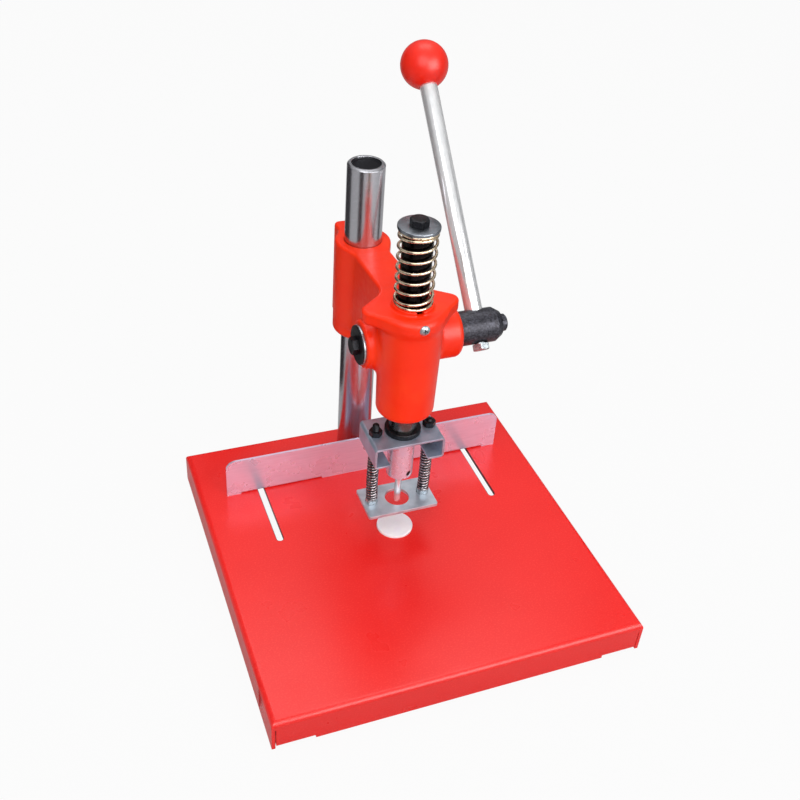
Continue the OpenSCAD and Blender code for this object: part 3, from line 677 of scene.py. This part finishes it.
def cross_recess(made, height):
    """1 on an upright cross in the middle plane at that height in millimetres, else 0."""
    half_width = 0.5
    reach = 1.9
    axes = made.axes()
    side = made.math("ABSOLUTE", axes["X"])
    rise = made.math("ABSOLUTE", made.math("SUBTRACT", axes["Z"], height * MM))
    arm = made.math("LESS_THAN", made.math("MINIMUM", side, rise), half_width * MM)
    near = made.math("LESS_THAN", made.math("MAXIMUM", side, rise), reach * MM)
    return made.math("MULTIPLY", arm, near)


def zinc_plate(name, recess_shade_at=None):
    """Bright zinc on small fasteners. Painted shade fills a cross recess in the front at that
    height.
    """
    made = Finish(name, metallic=0.7)
    cloud = made.noise(3.0, detail=4)
    tone = made.tones(cloud, srgb(152, 160, 166), srgb(190, 196, 200))
    if recess_shade_at:
        # Painted shade darkens the cross recess.
        tone = made.blend(cross_recess(made, recess_shade_at), tone, srgb(38, 34, 34))
    made.colour(tone)
    made.roughness(made.span(cloud, 0.2, 0.36))
    made.bump(made.noise(0.8, detail=3), 0.006)
    return made.material


def black_oxide(name, tone, sheen, rough_low, rough_high):
    """Blackened steel with a mottled oily sheen."""
    made = Finish(name, metallic=0.55)
    mottle = made.noise(1.6)
    patch = made.noise(9, detail=2)
    base = made.ramp(mottle, (0.35, tone), (0.7, sheen))
    made.colour(made.blend(made.span(patch, 0.0, 0.5), base, tone))
    made.roughness(made.span(mottle, rough_low, rough_high))
    made.bump(made.noise(1.1, detail=4, rough=0.6), 0.01)
    return made.material


def spring_wire(name, dark, bright, rough):
    """Drawn spring wire with faint draw lines and darker film."""
    made = Finish(name, metallic=1.0)
    film = made.noise(2.4, detail=4)
    made.colour(made.tones(film, dark, bright))
    made.roughness(made.span(film, rough, rough + 0.14))
    made.bump(made.noise(0.5, detail=3), 0.006)
    return made.material


def nylon():
    """White nylon with faint turning marks and grey cutting dust."""
    made = Finish("white_nylon", Subsurface_Weight=0.15, Subsurface_Scale=0.002)
    dust = made.noise(6, detail=4)
    made.colour(made.tones(dust, srgb(240, 240, 246), srgb(249, 249, 252)))
    made.roughness(made.span(dust, 0.42, 0.55))
    made.bump(made.noise(0.9, detail=3), 0.02)
    return made.material


def ball_plastic():
    """Glossy moulded red knob."""
    made = Finish(
        "ball_plastic", Specular_IOR_Level=0.4, Coat_Weight=0.15, Coat_Roughness=0.22
    )
    cloud = made.noise(16, detail=2)
    made.colour(made.tones(cloud, srgb(240, 27, 4), srgb(247, 37, 8)))
    made.roughness(made.span(cloud, 0.34, 0.42))
    made.bump(made.noise(5, detail=2), 0.03)
    return made.material


def cap_plastic():
    """Black moulded cap with a fine grain."""
    made = Finish("cap_plastic", Specular_IOR_Level=0.12)
    grain = made.noise(0.7, detail=3)
    made.colour(made.tones(grain, srgb(8, 8, 13), srgb(15, 16, 23)))
    made.roughness(made.span(grain, 0.4, 0.55))
    made.bump(grain, 0.02)
    return made.material


POWDER = powder_coat()
ENAMEL = casting_enamel()
CHROME = chrome()
ROD_CHROME = rod_chrome()
# The ram gets painted shade above the casting top, inside the return spring.
GROUND = turned_steel(
    "ground_steel", srgb(92, 86, 84), srgb(132, 124, 120), 0.2, 0.32, shade_above=HEAD_TOP
)
CHUCK_STEEL = turned_steel(
    "satin_chuck_steel", srgb(214, 214, 236), srgb(232, 232, 250), 0.24, 0.34, metallic=0.6
)
BRIGHT = turned_steel(
    "bright_steel", srgb(226, 222, 226), srgb(244, 242, 244), 0.14, 0.22, metallic=0.7
)
BARE = turned_steel("bare_steel", srgb(128, 128, 132), srgb(172, 172, 178), 0.3, 0.45)
SHEET = sheet_steel()
GALVANISED = galvanised("galvanised_tube", srgb(148, 160, 180), srgb(180, 192, 210))
PLATE = galvanised("galvanised_plate", srgb(174, 184, 196), srgb(204, 212, 222))
ZINC = zinc_plate("zinc_plate")
# The guide screw's cross recess gets painted shade.
SCREW_ZINC = zinc_plate("screw_zinc", recess_shade_at=mid("guide_screw").z)
DULL_ZINC = turned_steel("dull_zinc", srgb(112, 116, 124), srgb(178, 184, 192), 0.24, 0.38)
HUB_BLACK = black_oxide("hub_black_oxide", srgb(40, 39, 45), srgb(86, 86, 96), 0.28, 0.4)
SCREW_BLACK = black_oxide(
    "screw_black_oxide", srgb(12, 12, 15), srgb(40, 40, 47), 0.28, 0.42
)
SPRING_ZINC = spring_wire("spring_zinc", srgb(216, 192, 160), srgb(250, 236, 212), 0.16)
SPRING_BLACK = spring_wire("spring_black", srgb(40, 38, 40), srgb(216, 212, 216), 0.14)
NYLON = nylon()
BALL = ball_plastic()
CAP = cap_plastic()


# Head casting: a distance field of soft-edged forms, turned into a fine net

BARREL_LOW = HEAD_TOP - 100
BARREL_R = 24.0
BARREL_TAPER = 2.0
FLANGE_T = 12.0
# The flange runs like a belt round circles (x, y, radius)
LOBES = ((0, 0, 25.5), (32, 4, 8), (11, 24, 5), (-11, 24, 5), (-32, 4, 8))
SEAT_R = 16.7
SEAT_ROOT = HEAD_TOP - 6
SEAT_SLOT_HALF = 2.8
SEAT_SLOT_LOW = HEAD_TOP + 0.4
SLEEVE_R = 24.0
SLEEVE_LOW = HEAD_TOP - 95
SLEEVE_DROP = 5.0
WEB_HALF = 16.0
WEB_LOW = BARREL_LOW + 17
WEB_END = COLUMN_Y - SLEEVE_R
WEB_SLOPE_Y = 29.0
WEB_ARCH_R = 60.0
WEB_ARCH_RISE = 12.0
EAR_HALF = 15.0
EAR_Y = high("head_casting").y
CLAMP_Y = EAR_Y - 9
CLAMP_Z = (SLEEVE_LOW + 24, SLEEVE_LOW + 70)
SLIT_HALF = 1.5
BOSS_LEFT = -low("pinion_shaft").x - 0.2
BOSS_RIGHT = high("head_casting").x
BOSS_LEFT_R = 20.0
BOSS_RIGHT_R = 22.0
GUIDE_SCREW_Z = mid("guide_screw").z
RAM_BORE_R = 12.05
COLUMN_BORE_R = 16.05
PINION_BORE_R = 15.05
PINION_BORE_END = 12.7
SHAFT_BORE_R = 10.05
CLAMP_HOLE_R = 4.2
GUIDE_HOLE_R = 2.54
BORE_EDGE = 0.9
FILLET = 8.0
NET_STEP = 1.0


def soft_cut(a, b, radius):
    """Where both fields are inside, with a rounded edge between them."""
    u = np.maximum(a + radius, 0)
    v = np.maximum(b + radius, 0)
    return np.minimum(np.maximum(a, b), -radius) + np.sqrt(u * u + v * v)


def soft_join(a, b, radius):
    """Where either field is inside, with a fillet between them."""
    gap = np.maximum(radius - np.abs(a - b), 0) / radius
    return np.minimum(a, b) - gap * gap * radius / 4


def slab(value, lower, upper):
    return np.maximum(lower - value, value - upper)


def box_2d(u, v, half_u, half_v, radius):
    """A rectangle with rounded corners round the origin."""
    du = np.abs(u) - half_u + radius
    dv = np.abs(v) - half_v + radius
    outside = np.hypot(np.maximum(du, 0), np.maximum(dv, 0))
    return outside + np.minimum(np.maximum(du, dv), 0) - radius


def belt_outline(circles):
    """Outline of a belt round circles that are listed anticlockwise."""
    steps = 12
    count = len(circles)
    normals = []
    for i in range(count):
        ax, ay, ar = circles[i]
        bx, by, br = circles[(i + 1) % count]
        length = math.hypot(bx - ax, by - ay)
        along = math.atan2(by - ay, bx - ax)
        normals.append(along - math.pi / 2 + math.asin((ar - br) / length))
    outline = []
    for i, (x, y, r) in enumerate(circles):
        start = normals[i - 1]
        sweep = (normals[i] - start) % (2 * math.pi)
        for k in range(steps + 1):
            a = start + sweep * k / steps
            outline.append((x + r * math.cos(a), y + r * math.sin(a)))
    return outline


def outline_distance(x, y, outline):
    """Signed distance to a closed outline, negative inside."""
    best = np.full(np.broadcast(x, y).shape, 1e9)
    inside = np.zeros(best.shape, bool)
    for (ax, ay), (bx, by) in zip(outline, outline[1:] + outline[:1]):
        ex, ey = bx - ax, by - ay
        length = ex * ex + ey * ey
        if length < 1e-9:
            continue
        t = np.clip(((x - ax) * ex + (y - ay) * ey) / length, 0, 1)
        best = np.minimum(best, np.hypot(x - ax - t * ex, y - ay - t * ey))
        crosses = (y < ay) != (y < by)
        if ey:
            inside ^= crosses & (x < ax + (y - ay) / ey * ex)
    return np.where(inside, -best, best)


FLANGE_OUTLINE = belt_outline(LOBES)


def outer_forms(x, y, z, axle):
    """Barrel with its flange, web, clamp sleeve and bosses, joined with fillets."""
    share = (z - BARREL_LOW) / (HEAD_TOP - BARREL_LOW)
    barrel = np.hypot(x, y) - BARREL_R - BARREL_TAPER * share
    barrel = soft_cut(barrel, BARREL_LOW - z, 5.0)
    flange = outline_distance(x, y, FLANGE_OUTLINE)
    flange = soft_cut(flange, HEAD_TOP - FLANGE_T - z, 3.5)
    body = soft_join(barrel, flange, 7.0)

    arch_y = (BARREL_R + COLUMN_Y - SLEEVE_R) / 2
    arch = WEB_ARCH_R - np.hypot(y - arch_y, z - WEB_LOW - WEB_ARCH_RISE + WEB_ARCH_R)
    into_sleeve = 10
    web = np.maximum(np.abs(x) - WEB_HALF, slab(y, 0, WEB_END + into_sleeve))
    web = soft_cut(web, np.maximum(WEB_LOW - z, arch), 4.0)
    body = soft_join(body, web, FILLET)

    sleeve = np.hypot(x, y - COLUMN_Y) - SLEEVE_R
    ear_mid = (COLUMN_Y + EAR_Y) / 2
    ears = box_2d(x, y - ear_mid, EAR_HALF, (EAR_Y - COLUMN_Y) / 2, 5.0)
    sleeve = soft_cut(soft_join(sleeve, ears, 5.0), SLEEVE_LOW - z, 4.0)
    body = soft_join(body, sleeve, FILLET)

    boss = soft_cut(axle - BOSS_RIGHT_R, np.maximum(x - BOSS_RIGHT, -x), 5.0)
    body = soft_join(body, boss, FILLET)
    boss = soft_cut(axle - BOSS_LEFT_R, np.maximum(-x - BOSS_LEFT, x), 2.5)
    return soft_join(body, boss, FILLET)


def slotted_seat(body, x, y, z):
    """The body with its top faced off, and the slotted spring seat raised from it."""
    top = np.interp(y, (WEB_SLOPE_Y, WEB_END), (HEAD_TOP, HEAD_TOP - SLEEVE_DROP))
    rounder_in_front = np.interp(y, (-24, -6), (6.0, 2.5))
    body = soft_cut(body, z - top, rounder_in_front)
    seat = soft_cut(np.hypot(x, y) - SEAT_R, z - HEAD_TOP - SEAT_H, 0.8)
    seat = np.maximum(seat, SEAT_ROOT - z)
    body = soft_join(body, seat, 2.0)
    slot = np.maximum(np.abs(x) - SEAT_SLOT_HALF, np.maximum(y, SEAT_SLOT_LOW - z))
    return soft_cut(body, -slot, 0.5)


def casting_field(x, y, z):
    """Signed distance to the head casting, in millimetres."""
    axle = np.hypot(y - PINION_Y, z - PINION_Z)
    body = slotted_seat(outer_forms(x, y, z, axle), x, y, z)
    for bore in (
        np.hypot(x, y) - RAM_BORE_R,
        np.hypot(x, y - COLUMN_Y) - COLUMN_BORE_R,
        np.maximum(np.abs(x) - SLIT_HALF, COLUMN_Y - y),
        np.maximum(axle - PINION_BORE_R, x - PINION_BORE_END),
        np.maximum(axle - SHAFT_BORE_R, -x),
    ):
        body = soft_cut(body, -bore, BORE_EDGE)
    for bolt_z in CLAMP_Z:
        hole = np.hypot(y - CLAMP_Y, z - bolt_z) - CLAMP_HOLE_R
        body = soft_cut(body, -hole, 0.8)
    hole = np.maximum(np.hypot(x, z - GUIDE_SCREW_Z) - GUIDE_HOLE_R, y)
    return soft_cut(body, -hole, 0.5)


def net(field, origin, step):
    """Points and four-sided faces of the surface where the field is zero."""
    cells = tuple(n - 1 for n in field.shape)
    total = np.zeros(cells + (3,), np.float32)
    count = np.zeros(cells, np.int8)
    crossings = []
    inside = field < 0
    for axis in range(3):
        near = [slice(None)] * 3
        far = [slice(None)] * 3
        near[axis] = slice(0, -1)
        far[axis] = slice(1, None)
        near, far = tuple(near), tuple(far)
        index = np.argwhere(inside[near] != inside[far])
        at = tuple(index.T)
        a = field[near][at]
        b = field[far][at]
        place = index.astype(np.float32)
        place[:, axis] += a / (a - b)
        others = [k for k in range(3) if k != axis]
        corners = []
        for du, dv in ((0, 0), (-1, 0), (-1, -1), (0, -1)):
            cell = index.copy()
            cell[:, others[0]] += du
            cell[:, others[1]] += dv
            corners.append(cell)
            np.add.at(total, tuple(cell.T), place)
            np.add.at(count, tuple(cell.T), 1)
        crossings.append((corners, a < 0, axis))
    used = count > 0
    number = np.cumsum(used).reshape(cells) - 1
    points = total[used] / count[used][:, None]
    faces = []
    for corners, outward, axis in crossings:
        quad = np.stack([number[tuple(c.T)] for c in corners], axis=1)
        flip = outward == (axis == 1)
        quad[flip] = quad[flip][:, ::-1]
        faces.append(quad)
    return np.array(origin) + points * step, np.concatenate(faces)


def settle(points, field):
    """Moves the points onto the surface, and returns them with its normals."""
    rounds = 3
    reach = 0.05
    longest = 0.4
    for _ in range(rounds):
        slope = np.stack([
            field(*(points + reach * axis).T) - field(*(points - reach * axis).T)
            for axis in np.eye(3)
        ], axis=1) / (2 * reach)
        size = np.maximum((slope * slope).sum(1), 0.1)
        away = np.clip(field(*points.T) / size, -longest, longest)
        points = points - slope * away[:, None]
    return points, slope / np.linalg.norm(slope, axis=1)[:, None]


def head_casting():
    margin = Vector((2, 2, 2))
    lowest = low("head_casting") - margin
    highest = high("head_casting") + margin
    axes = [np.arange(a, b + NET_STEP, NET_STEP) for a, b in zip(lowest, highest)]
    x, y, z = np.meshgrid(*axes, indexing="ij", sparse=True)
    field = casting_field(x, y, z).astype(np.float32)
    points, faces = net(field, lowest, NET_STEP)
    points, normals = settle(points, casting_field)
    mesh = bpy.data.meshes.new("iron_head")
    mesh.from_pydata((points * MM).tolist(), [], faces.tolist())
    shade_smooth(mesh)
    mesh.normals_split_custom_set_from_vertices(normals.tolist())
    finish_piece(mesh, "iron_head", "head", ENAMEL, ("head_casting",))


# Fasteners and turned parts

def bolt_piece(name, places, body, slot, material, node, shank):
    """M8 bolts as one piece: heads above each place with their washer faces, shanks below."""
    head = hexagon(M8_FLATS, M8_HEAD, face=0.3)
    into_head = 0.01
    stem = lathe([
        (0, -shank, 0), (M8_R, -shank, 0.8), (M8_R, into_head, 0), (0, into_head, 0)
    ])
    shape = Shape()
    for place in places:
        shape.add(head, place)
        shape.add(stem, place)
    shape.make(name, body, slot, material, (node,))


def head_fasteners():
    bolts = []
    washers = Shape()
    radius = 8
    thick = 1.6
    for z in CLAMP_Z:
        seat = move(EAR_HALF, CLAMP_Y, z) @ turn(90, "Y")
        washers.add(washer(radius, M8_HOLE_R, thick), seat)
        bolts.append(seat @ move(0, 0, thick) @ turn(14, "Z"))
    bolt_piece(
        "sleeve_bolts", bolts, "head", "black_oxide", SCREW_BLACK, "clamp_bolts", shank=30.1
    )
    washers.make("sleeve_washers", "head", "zinc_plate", ZINC, ("clamp_washers",))


def pinion_fasteners():
    face_x = low("pinion_washer").x
    thick = high("pinion_washer").x - face_x
    radius = (high("pinion_washer").y - low("pinion_washer").y) / 2
    seat = move(face_x + thick, PINION_Y, PINION_Z) @ turn(-90, "Y")
    rim = thick * 0.62
    step = 0.25
    gap = 0.01
    upper = washer(radius - step, M8_HOLE_R, thick - rim, 0.3)
    Shape().add(upper, seat @ move(0, 0, rim)).make(
        "shaft_washer", "lever", "black_oxide", SCREW_BLACK, ("pinion_washer",)
    )
    Shape().add(washer(radius, M8_HOLE_R, rim - gap, 0.3), seat).make(
        "shaft_washer_rim", "lever", "black_oxide", ZINC
    )
    bolt_piece(
        "shaft_bolt", [seat @ move(0, 0, thick) @ turn(8, "Z")], "lever",
        "black_oxide", SCREW_BLACK, "pinion_bolt", shank=20
    )


def ram_fasteners():
    seat, top = heights("spring_washer")
    thick = top - seat
    radius = high("spring_washer").x
    Shape().add(washer(radius, M8_HOLE_R, thick, 0.6), move(0, 0, seat)).make(
        "ram_washer", "ram", "zinc_plate", DULL_ZINC, ("spring_washer",)
    )
    bolt_piece(
        "ram_top_bolt", [move(0, 0, seat + thick) @ turn(-6, "Z")], "ram",
        "black_oxide", SCREW_BLACK, "ram_bolt", shank=20
    )


def lever():
    # The foot of the lever, with Z along the rod
    place = move(ROD_X, PINION_Y, PINION_Z) @ turn(-LEVER_LEAN, "X")
    rod_r = (high("lever_rod").x - low("lever_rod").x) / 2
    start = 7.6
    end = LEVER_LENGTH - BALL_R * 0.25
    Shape().add(lathe([
        (0, start, 0), (rod_r, start, 0.4), (rod_r, end, 0.4), (0, end, 0)
    ], sides=96), place).make(
        "handle_rod", "lever", "column_chrome", ROD_CHROME, ("lever_rod",)
    )
    rim = 1.5
    neck = math.sqrt(BALL_R ** 2 - (rod_r + rim) ** 2)
    steps = 40
    first = math.acos(-neck / BALL_R)
    arc = []
    for k in range(steps + 1):
        a = first * (1 - k / steps)
        arc.append((BALL_R * math.sin(a), BALL_R * math.cos(a), 0))
    arc[0] = (arc[0][0], arc[0][1], 0.6)
    arc[-1] = (0, BALL_R, 0)
    hole_r = rod_r + 0.05
    hole_top = -neck + 2
    profile = [(0, hole_top, 0), (hole_r, hole_top, 0), (hole_r, -neck, 0.3)] + arc
    Shape().add(lathe(profile, sides=96), place @ move(0, 0, LEVER_LENGTH)).make(
        "knob", "lever", "red_plastic", BALL, ("ball_knob",), sharp=50
    )
    flat = 14.9
    under = place @ turn(180, "X") @ move(0, 0, flat) @ turn(20, "Z")
    bolt_piece("hub_bolt", [under], "lever", "zinc_plate", ZINC, "lever_lock_bolt", shank=7.4)
    softened("lever_hub", "hub", "lever", HUB_BLACK, width=0.4)


def column():
    foot, top = heights("column")
    inner = COLUMN_R - COLUMN_WALL
    chamfer = 1.5
    place = move(0, COLUMN_Y, 0)
    Shape().add(lathe([
        (inner, foot, 0.2), (COLUMN_R, foot, 0.3), (COLUMN_R, top - chamfer, 0.5),
        (COLUMN_R - chamfer, top, 0.4), (inner, top, 0.3)
    ], sides=128, ring=True), place).make(
        "chrome_column", "base", "column_chrome", CHROME, ("column",)
    )
    cap_r = inner - 0.05
    cap_top = high("column_cap").z
    cap_low = cap_top - 10
    dish = cap_top - 0.5
    Shape().add(lathe([
        (0, cap_low, 0), (cap_r, cap_low, 0.3), (cap_r, cap_top, 0.5),
        (inner - 1.6, cap_top, 0.4), (inner - 2.2, dish, 0.4), (0, dish, 0)
    ], sides=96), place).make(
        "end_cap", "base", "black_plastic", CAP, ("column_cap",)
    )


def springs():
    seat, top = heights("return_spring")
    room = top - seat
    path = coil(RETURN_TURNS, RETURN_R, RETURN_WIRE, room, start=0.6, per_turn=40)
    spring = Shape().add(tube(path, RETURN_WIRE / 2, sides=16), move(0, 0, seat)).make(
        "return_coil", "head", "spring_zinc", SPRING_ZINC, ("return_spring",), sharp=60
    )
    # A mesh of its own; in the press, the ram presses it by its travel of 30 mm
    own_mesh(spring)
    for name, side in (("left", -1), ("right", 1)):
        node = "stripper_spring_" + name
        seat, top = heights(node)
        room = top - seat
        bow = Vector((side * STRIPPER_BOW, 0, 0))
        path = coil(
            STRIPPER_TURNS, STRIPPER_R, STRIPPER_WIRE, room, start=side, per_turn=24, bow=bow
        )
        wire = tube(path, STRIPPER_WIRE / 2, sides=10)
        spring = Shape().add(wire, move(side * GUIDE_X, 0, seat)).make(
            "stripper_coil_" + name, "ram", "black_spring", SPRING_BLACK, (node,), sharp=60
        )
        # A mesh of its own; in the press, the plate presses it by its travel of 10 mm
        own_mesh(spring)


def stripper_guides():
    """Threaded rods, with stop nuts above the bracket and nuts on the plate."""
    bracket_top = high("bracket").z
    plate_top = high("stripper_plate").z
    rod_low, rod_top = heights("guide_rods")
    nut = hexagon(M6_FLATS, M6_NUT, both=True)
    rods = Shape()
    top_nuts = Shape()
    plate_nuts = Shape()
    # The right rod ends 4 mm lower
    for x, short in ((-GUIDE_X, 0.3), (GUIDE_X, 4.3)):
        thread = screw_thread(M6_R, rod_top - rod_low - short, M6_PITCH, M6_THREAD)
        rods.add(thread, move(x, 0, rod_low))
        top_nuts.add(nut, move(x, 0, bracket_top) @ turn(12, "Z"))
        plate_nuts.add(nut, move(x, 0, plate_top) @ turn(20, "Z"))
    rods.make("threaded_rods", "stripper", "black_oxide", SCREW_BLACK, ("guide_rods",), sharp=50)
    top_nuts.make("rod_nuts", "stripper", "black_oxide", SCREW_BLACK, ("guide_nuts",))
    plate_nuts.make("seat_nuts", "stripper", "zinc_plate", ZINC, ("plate_nuts",))


def punch_holder():
    radius = high("ram_collar").x
    foot, top = heights("ram_collar")
    bore_r = 8.05
    Shape().add(lathe([
        (bore_r, foot, 0.2), (radius, foot, 0.6), (radius, top, 1.4), (bore_r, top, 0.2)
    ], sides=96, ring=True)).make(
        "black_collar", "ram", "black_oxide", SCREW_BLACK, ("ram_collar",)
    )
    pin_r = 3.0
    pin_top = high("punch_pin").z
    edge = low("stripper_plate").z
    hollow = edge + 4
    Shape().add(lathe([
        (0, hollow, 0), (2.2, hollow, 0), (2.5, edge, 0.1), (2.8, edge, 0.1),
        (pin_r, edge + 1.4, 0.3), (pin_r, pin_top, 0), (0, pin_top, 0)
    ], sides=48)).make("hollow_punch", "ram", "bright_steel", BRIGHT, ("punch_pin",))
    softened(
        "bracket", "tube_bracket", "ram", GALVANISED, width=0.7, steps=3
    )
    softened("chuck", "punch_chuck", "ram", CHUCK_STEEL, width=0.35)
    softened("stripper_plate", "lift_plate", "stripper", PLATE, width=0.5)


def table():
    softened("base", "tray", "base", POWDER, width=0.5)
    softened("fence", "side_gauge", "fence", SHEET, width=0.35)
    radius = high("cutting_pad").x
    foot, top = heights("cutting_pad")
    Shape().add(lathe([
        (0, foot, 0), (radius, foot, 0.4), (radius, top, 0.7), (0, top, 0)
    ], sides=96)).make("punch_pad", "base", "white_nylon", NYLON, ("cutting_pad",))


def paint_nodes():
    """Finishes of the CAD nodes that stay as they are."""
    plain = {
        "anvil_block": BARE, "column_plug": BARE, "column_foot": BARE,
        "column_washer": ZINC, "column_bolt": ZINC,
        "fence_bolts": ZINC, "fence_washers": ZINC, "fence_wing_nuts": ZINC,
        "guide_screw": SCREW_ZINC, "pinion_shaft": HUB_BLACK, "ram": GROUND,
        "chuck_screw": SCREW_BLACK,
    }
    for node, material in plain.items():
        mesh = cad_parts[node].data
        mesh.materials.clear()
        mesh.materials.append(material)


# Stage

def camera():
    data = bpy.data.cameras.new("photo_camera")
    data.sensor_width = 36
    data.lens = data.sensor_width * FOCAL_PIXELS / PHOTO_PIXELS
    seen = new_object("photo_camera", data)
    a, e, k = CAMERA_AZIMUTH, CAMERA_ELEVATION, CAMERA_ROLL
    back = Vector((math.sin(a) * math.cos(e), -math.cos(a) * math.cos(e), math.sin(e)))
    right = Vector((math.cos(a), math.sin(a), 0))
    up = back.cross(right)
    rolled_right = right * math.cos(k) + up * math.sin(k)
    rolled_up = up * math.cos(k) - right * math.sin(k)
    turned = Matrix((rolled_right, rolled_up, back)).transposed()
    seen.matrix_world = Matrix.Translation(CAMERA_PLACE * MM) @ turned.to_4x4()
    bpy.context.scene.camera = seen


def area_light(name, place, target, size, watts):
    data = bpy.data.lights.new(name, "AREA")
    data.shape = "RECTANGLE"
    data.size, data.size_y = size
    data.energy = watts
    lamp = new_object(name, data)
    back = (Vector(place) - Vector(target)).normalized()
    lamp.matrix_world = move(*place) @ back.to_track_quat("Z", "Y").to_matrix().to_4x4()
    return lamp


def grey(level):
    return (level, level, level, 1)


def board(name, corners, material):
    """A flat board of four corners that belongs to the stage."""
    mesh = bpy.data.meshes.new(name)
    mesh.from_pydata(corners, [], [(0, 1, 2, 3)])
    mesh.materials.append(material)
    return new_object(name, mesh)


def dark_card(name, x, y, width, height):
    """An upright dark board that faces the column, and that only reflections show."""
    toward = Vector((x, y - COLUMN_Y * MM, 0)).normalized()
    side = Vector((-toward.y, toward.x, 0)) * width / 2
    foot = Vector((x, y, 0.002))
    rise = Vector((0, 0, height))
    dull = Finish(name, Specular_IOR_Level=0.0, Base_Color=(0.07, 0.07, 0.075, 1))
    corners = [foot - side, foot + side, foot + side + rise, foot - side + rise]
    card = board(name, corners, dull.material)
    card.visible_camera = False
    card.visible_diffuse = False
    card.visible_shadow = False
    card.visible_transmission = False


def ray_share(tree, camera_share, glossy_share):
    """The share for camera and transmission rays, or for glossy rays, and else 0."""
    rays = tree.nodes.new("ShaderNodeLightPath").outputs
    seen = math_node(tree, "MAXIMUM", rays["Is Camera Ray"], rays["Is Transmission Ray"])
    direct = math_node(tree, "MULTIPLY", seen, camera_share)
    mirrored = math_node(tree, "MULTIPLY", rays["Is Glossy Ray"], glossy_share)
    return math_node(tree, "MAXIMUM", direct, mirrored)


def mix_shaders(tree, share, first, second, output):
    """Shows the second shader over the first by the share."""
    mix = tree.nodes.new("ShaderNodeMixShader")
    tree.links.new(share, mix.inputs["Fac"])
    tree.links.new(first, mix.inputs[1])
    tree.links.new(second, mix.inputs[2])
    tree.links.new(mix.outputs["Shader"], tree.nodes[output].inputs["Surface"])


def soft_world():
    """A grey room, lighter upwards, that lights the press. The camera sees white instead."""
    world = bpy.data.worlds.new("soft_studio")
    world.use_nodes = True
    bpy.context.scene.world = world
    tree = world.node_tree
    room = tree.nodes["Background"]
    place = tree.nodes.new("ShaderNodeTexCoord")
    split = tree.nodes.new("ShaderNodeSeparateXYZ")
    tree.links.new(place.outputs["Generated"], split.inputs["Vector"])
    height = tree.nodes.new("ShaderNodeValToRGB")
    elements = height.color_ramp.elements
    for share, level in ((0.0, 0.22), (0.4, 0.3), (0.8, 0.6), (1.0, 0.75)):
        element = elements.new(share)
        element.color = grey(level)
    elements.remove(elements[0])
    elements.remove(elements[-1])
    tree.links.new(split.outputs["Z"], height.inputs["Fac"])
    tree.links.new(height.outputs["Color"], room.inputs["Color"])
    paper = tree.nodes.new("ShaderNodeBackground")
    paper.inputs["Color"].default_value = grey(0.965)
    mix_shaders(
        tree, ray_share(tree, 1.0, 0.0), room.outputs["Background"],
        paper.outputs["Background"], "World Output"
    )


def lamps():
    """Two soft lamps in front and one behind, and a third in front for highlights only."""
    middle = (0, 0, 0.15)
    right = (0.75, -1.5, 0.95)
    area_light("key", (-0.9, -1.4, 1.7), middle, (1.7, 1.7), watts=28)
    area_light("fill", right, middle, (0.9, 1.2), watts=11)
    gloss = area_light("gloss", right, middle, (1.5, 1.2), watts=42)
    gloss.visible_diffuse = False
    area_light("top", (0.3, 0.8, 2.0), middle, (1.2, 1.0), watts=9)


def white_floor():
    """A wide floor that the camera sees almost white, with a soft shadow."""
    half = 6.0
    z = -0.0002
    pale = Finish("pale_floor", Base_Color=grey(0.4), Roughness=0.9)
    corners = [(-half, -half, z), (half, -half, z), (half, half, z), (-half, half, z)]
    floor = board("floor", corners, pale.material)
    glow = pale.new("Emission", Strength=1.0)
    mix_shaders(
        pale.tree, ray_share(pale.tree, 0.94, 0.15), pale.shader.outputs["BSDF"],
        glow.outputs["Emission"], "Material Output"
    )


def studio():
    bpy.context.scene.view_settings.view_transform = "Standard"
    soft_world()
    lamps()
    for name, x, y, width, height in (
        ("card_left", -0.203, 0.348, 0.34, 0.5), ("card_near", -0.20, -0.095, 0.12, 0.5),
        ("card_right", 0.342, 0.076, 0.1, 0.5), ("card_low", -0.077, 0.222, 0.14, 0.1)
    ):
        dark_card(name, x, y, width, height)
    white_floor()


camera()
studio()
head_casting()
head_fasteners()
pinion_fasteners()
ram_fasteners()
lever()
column()
springs()
stripper_guides()
punch_holder()
table()
paint_nodes()
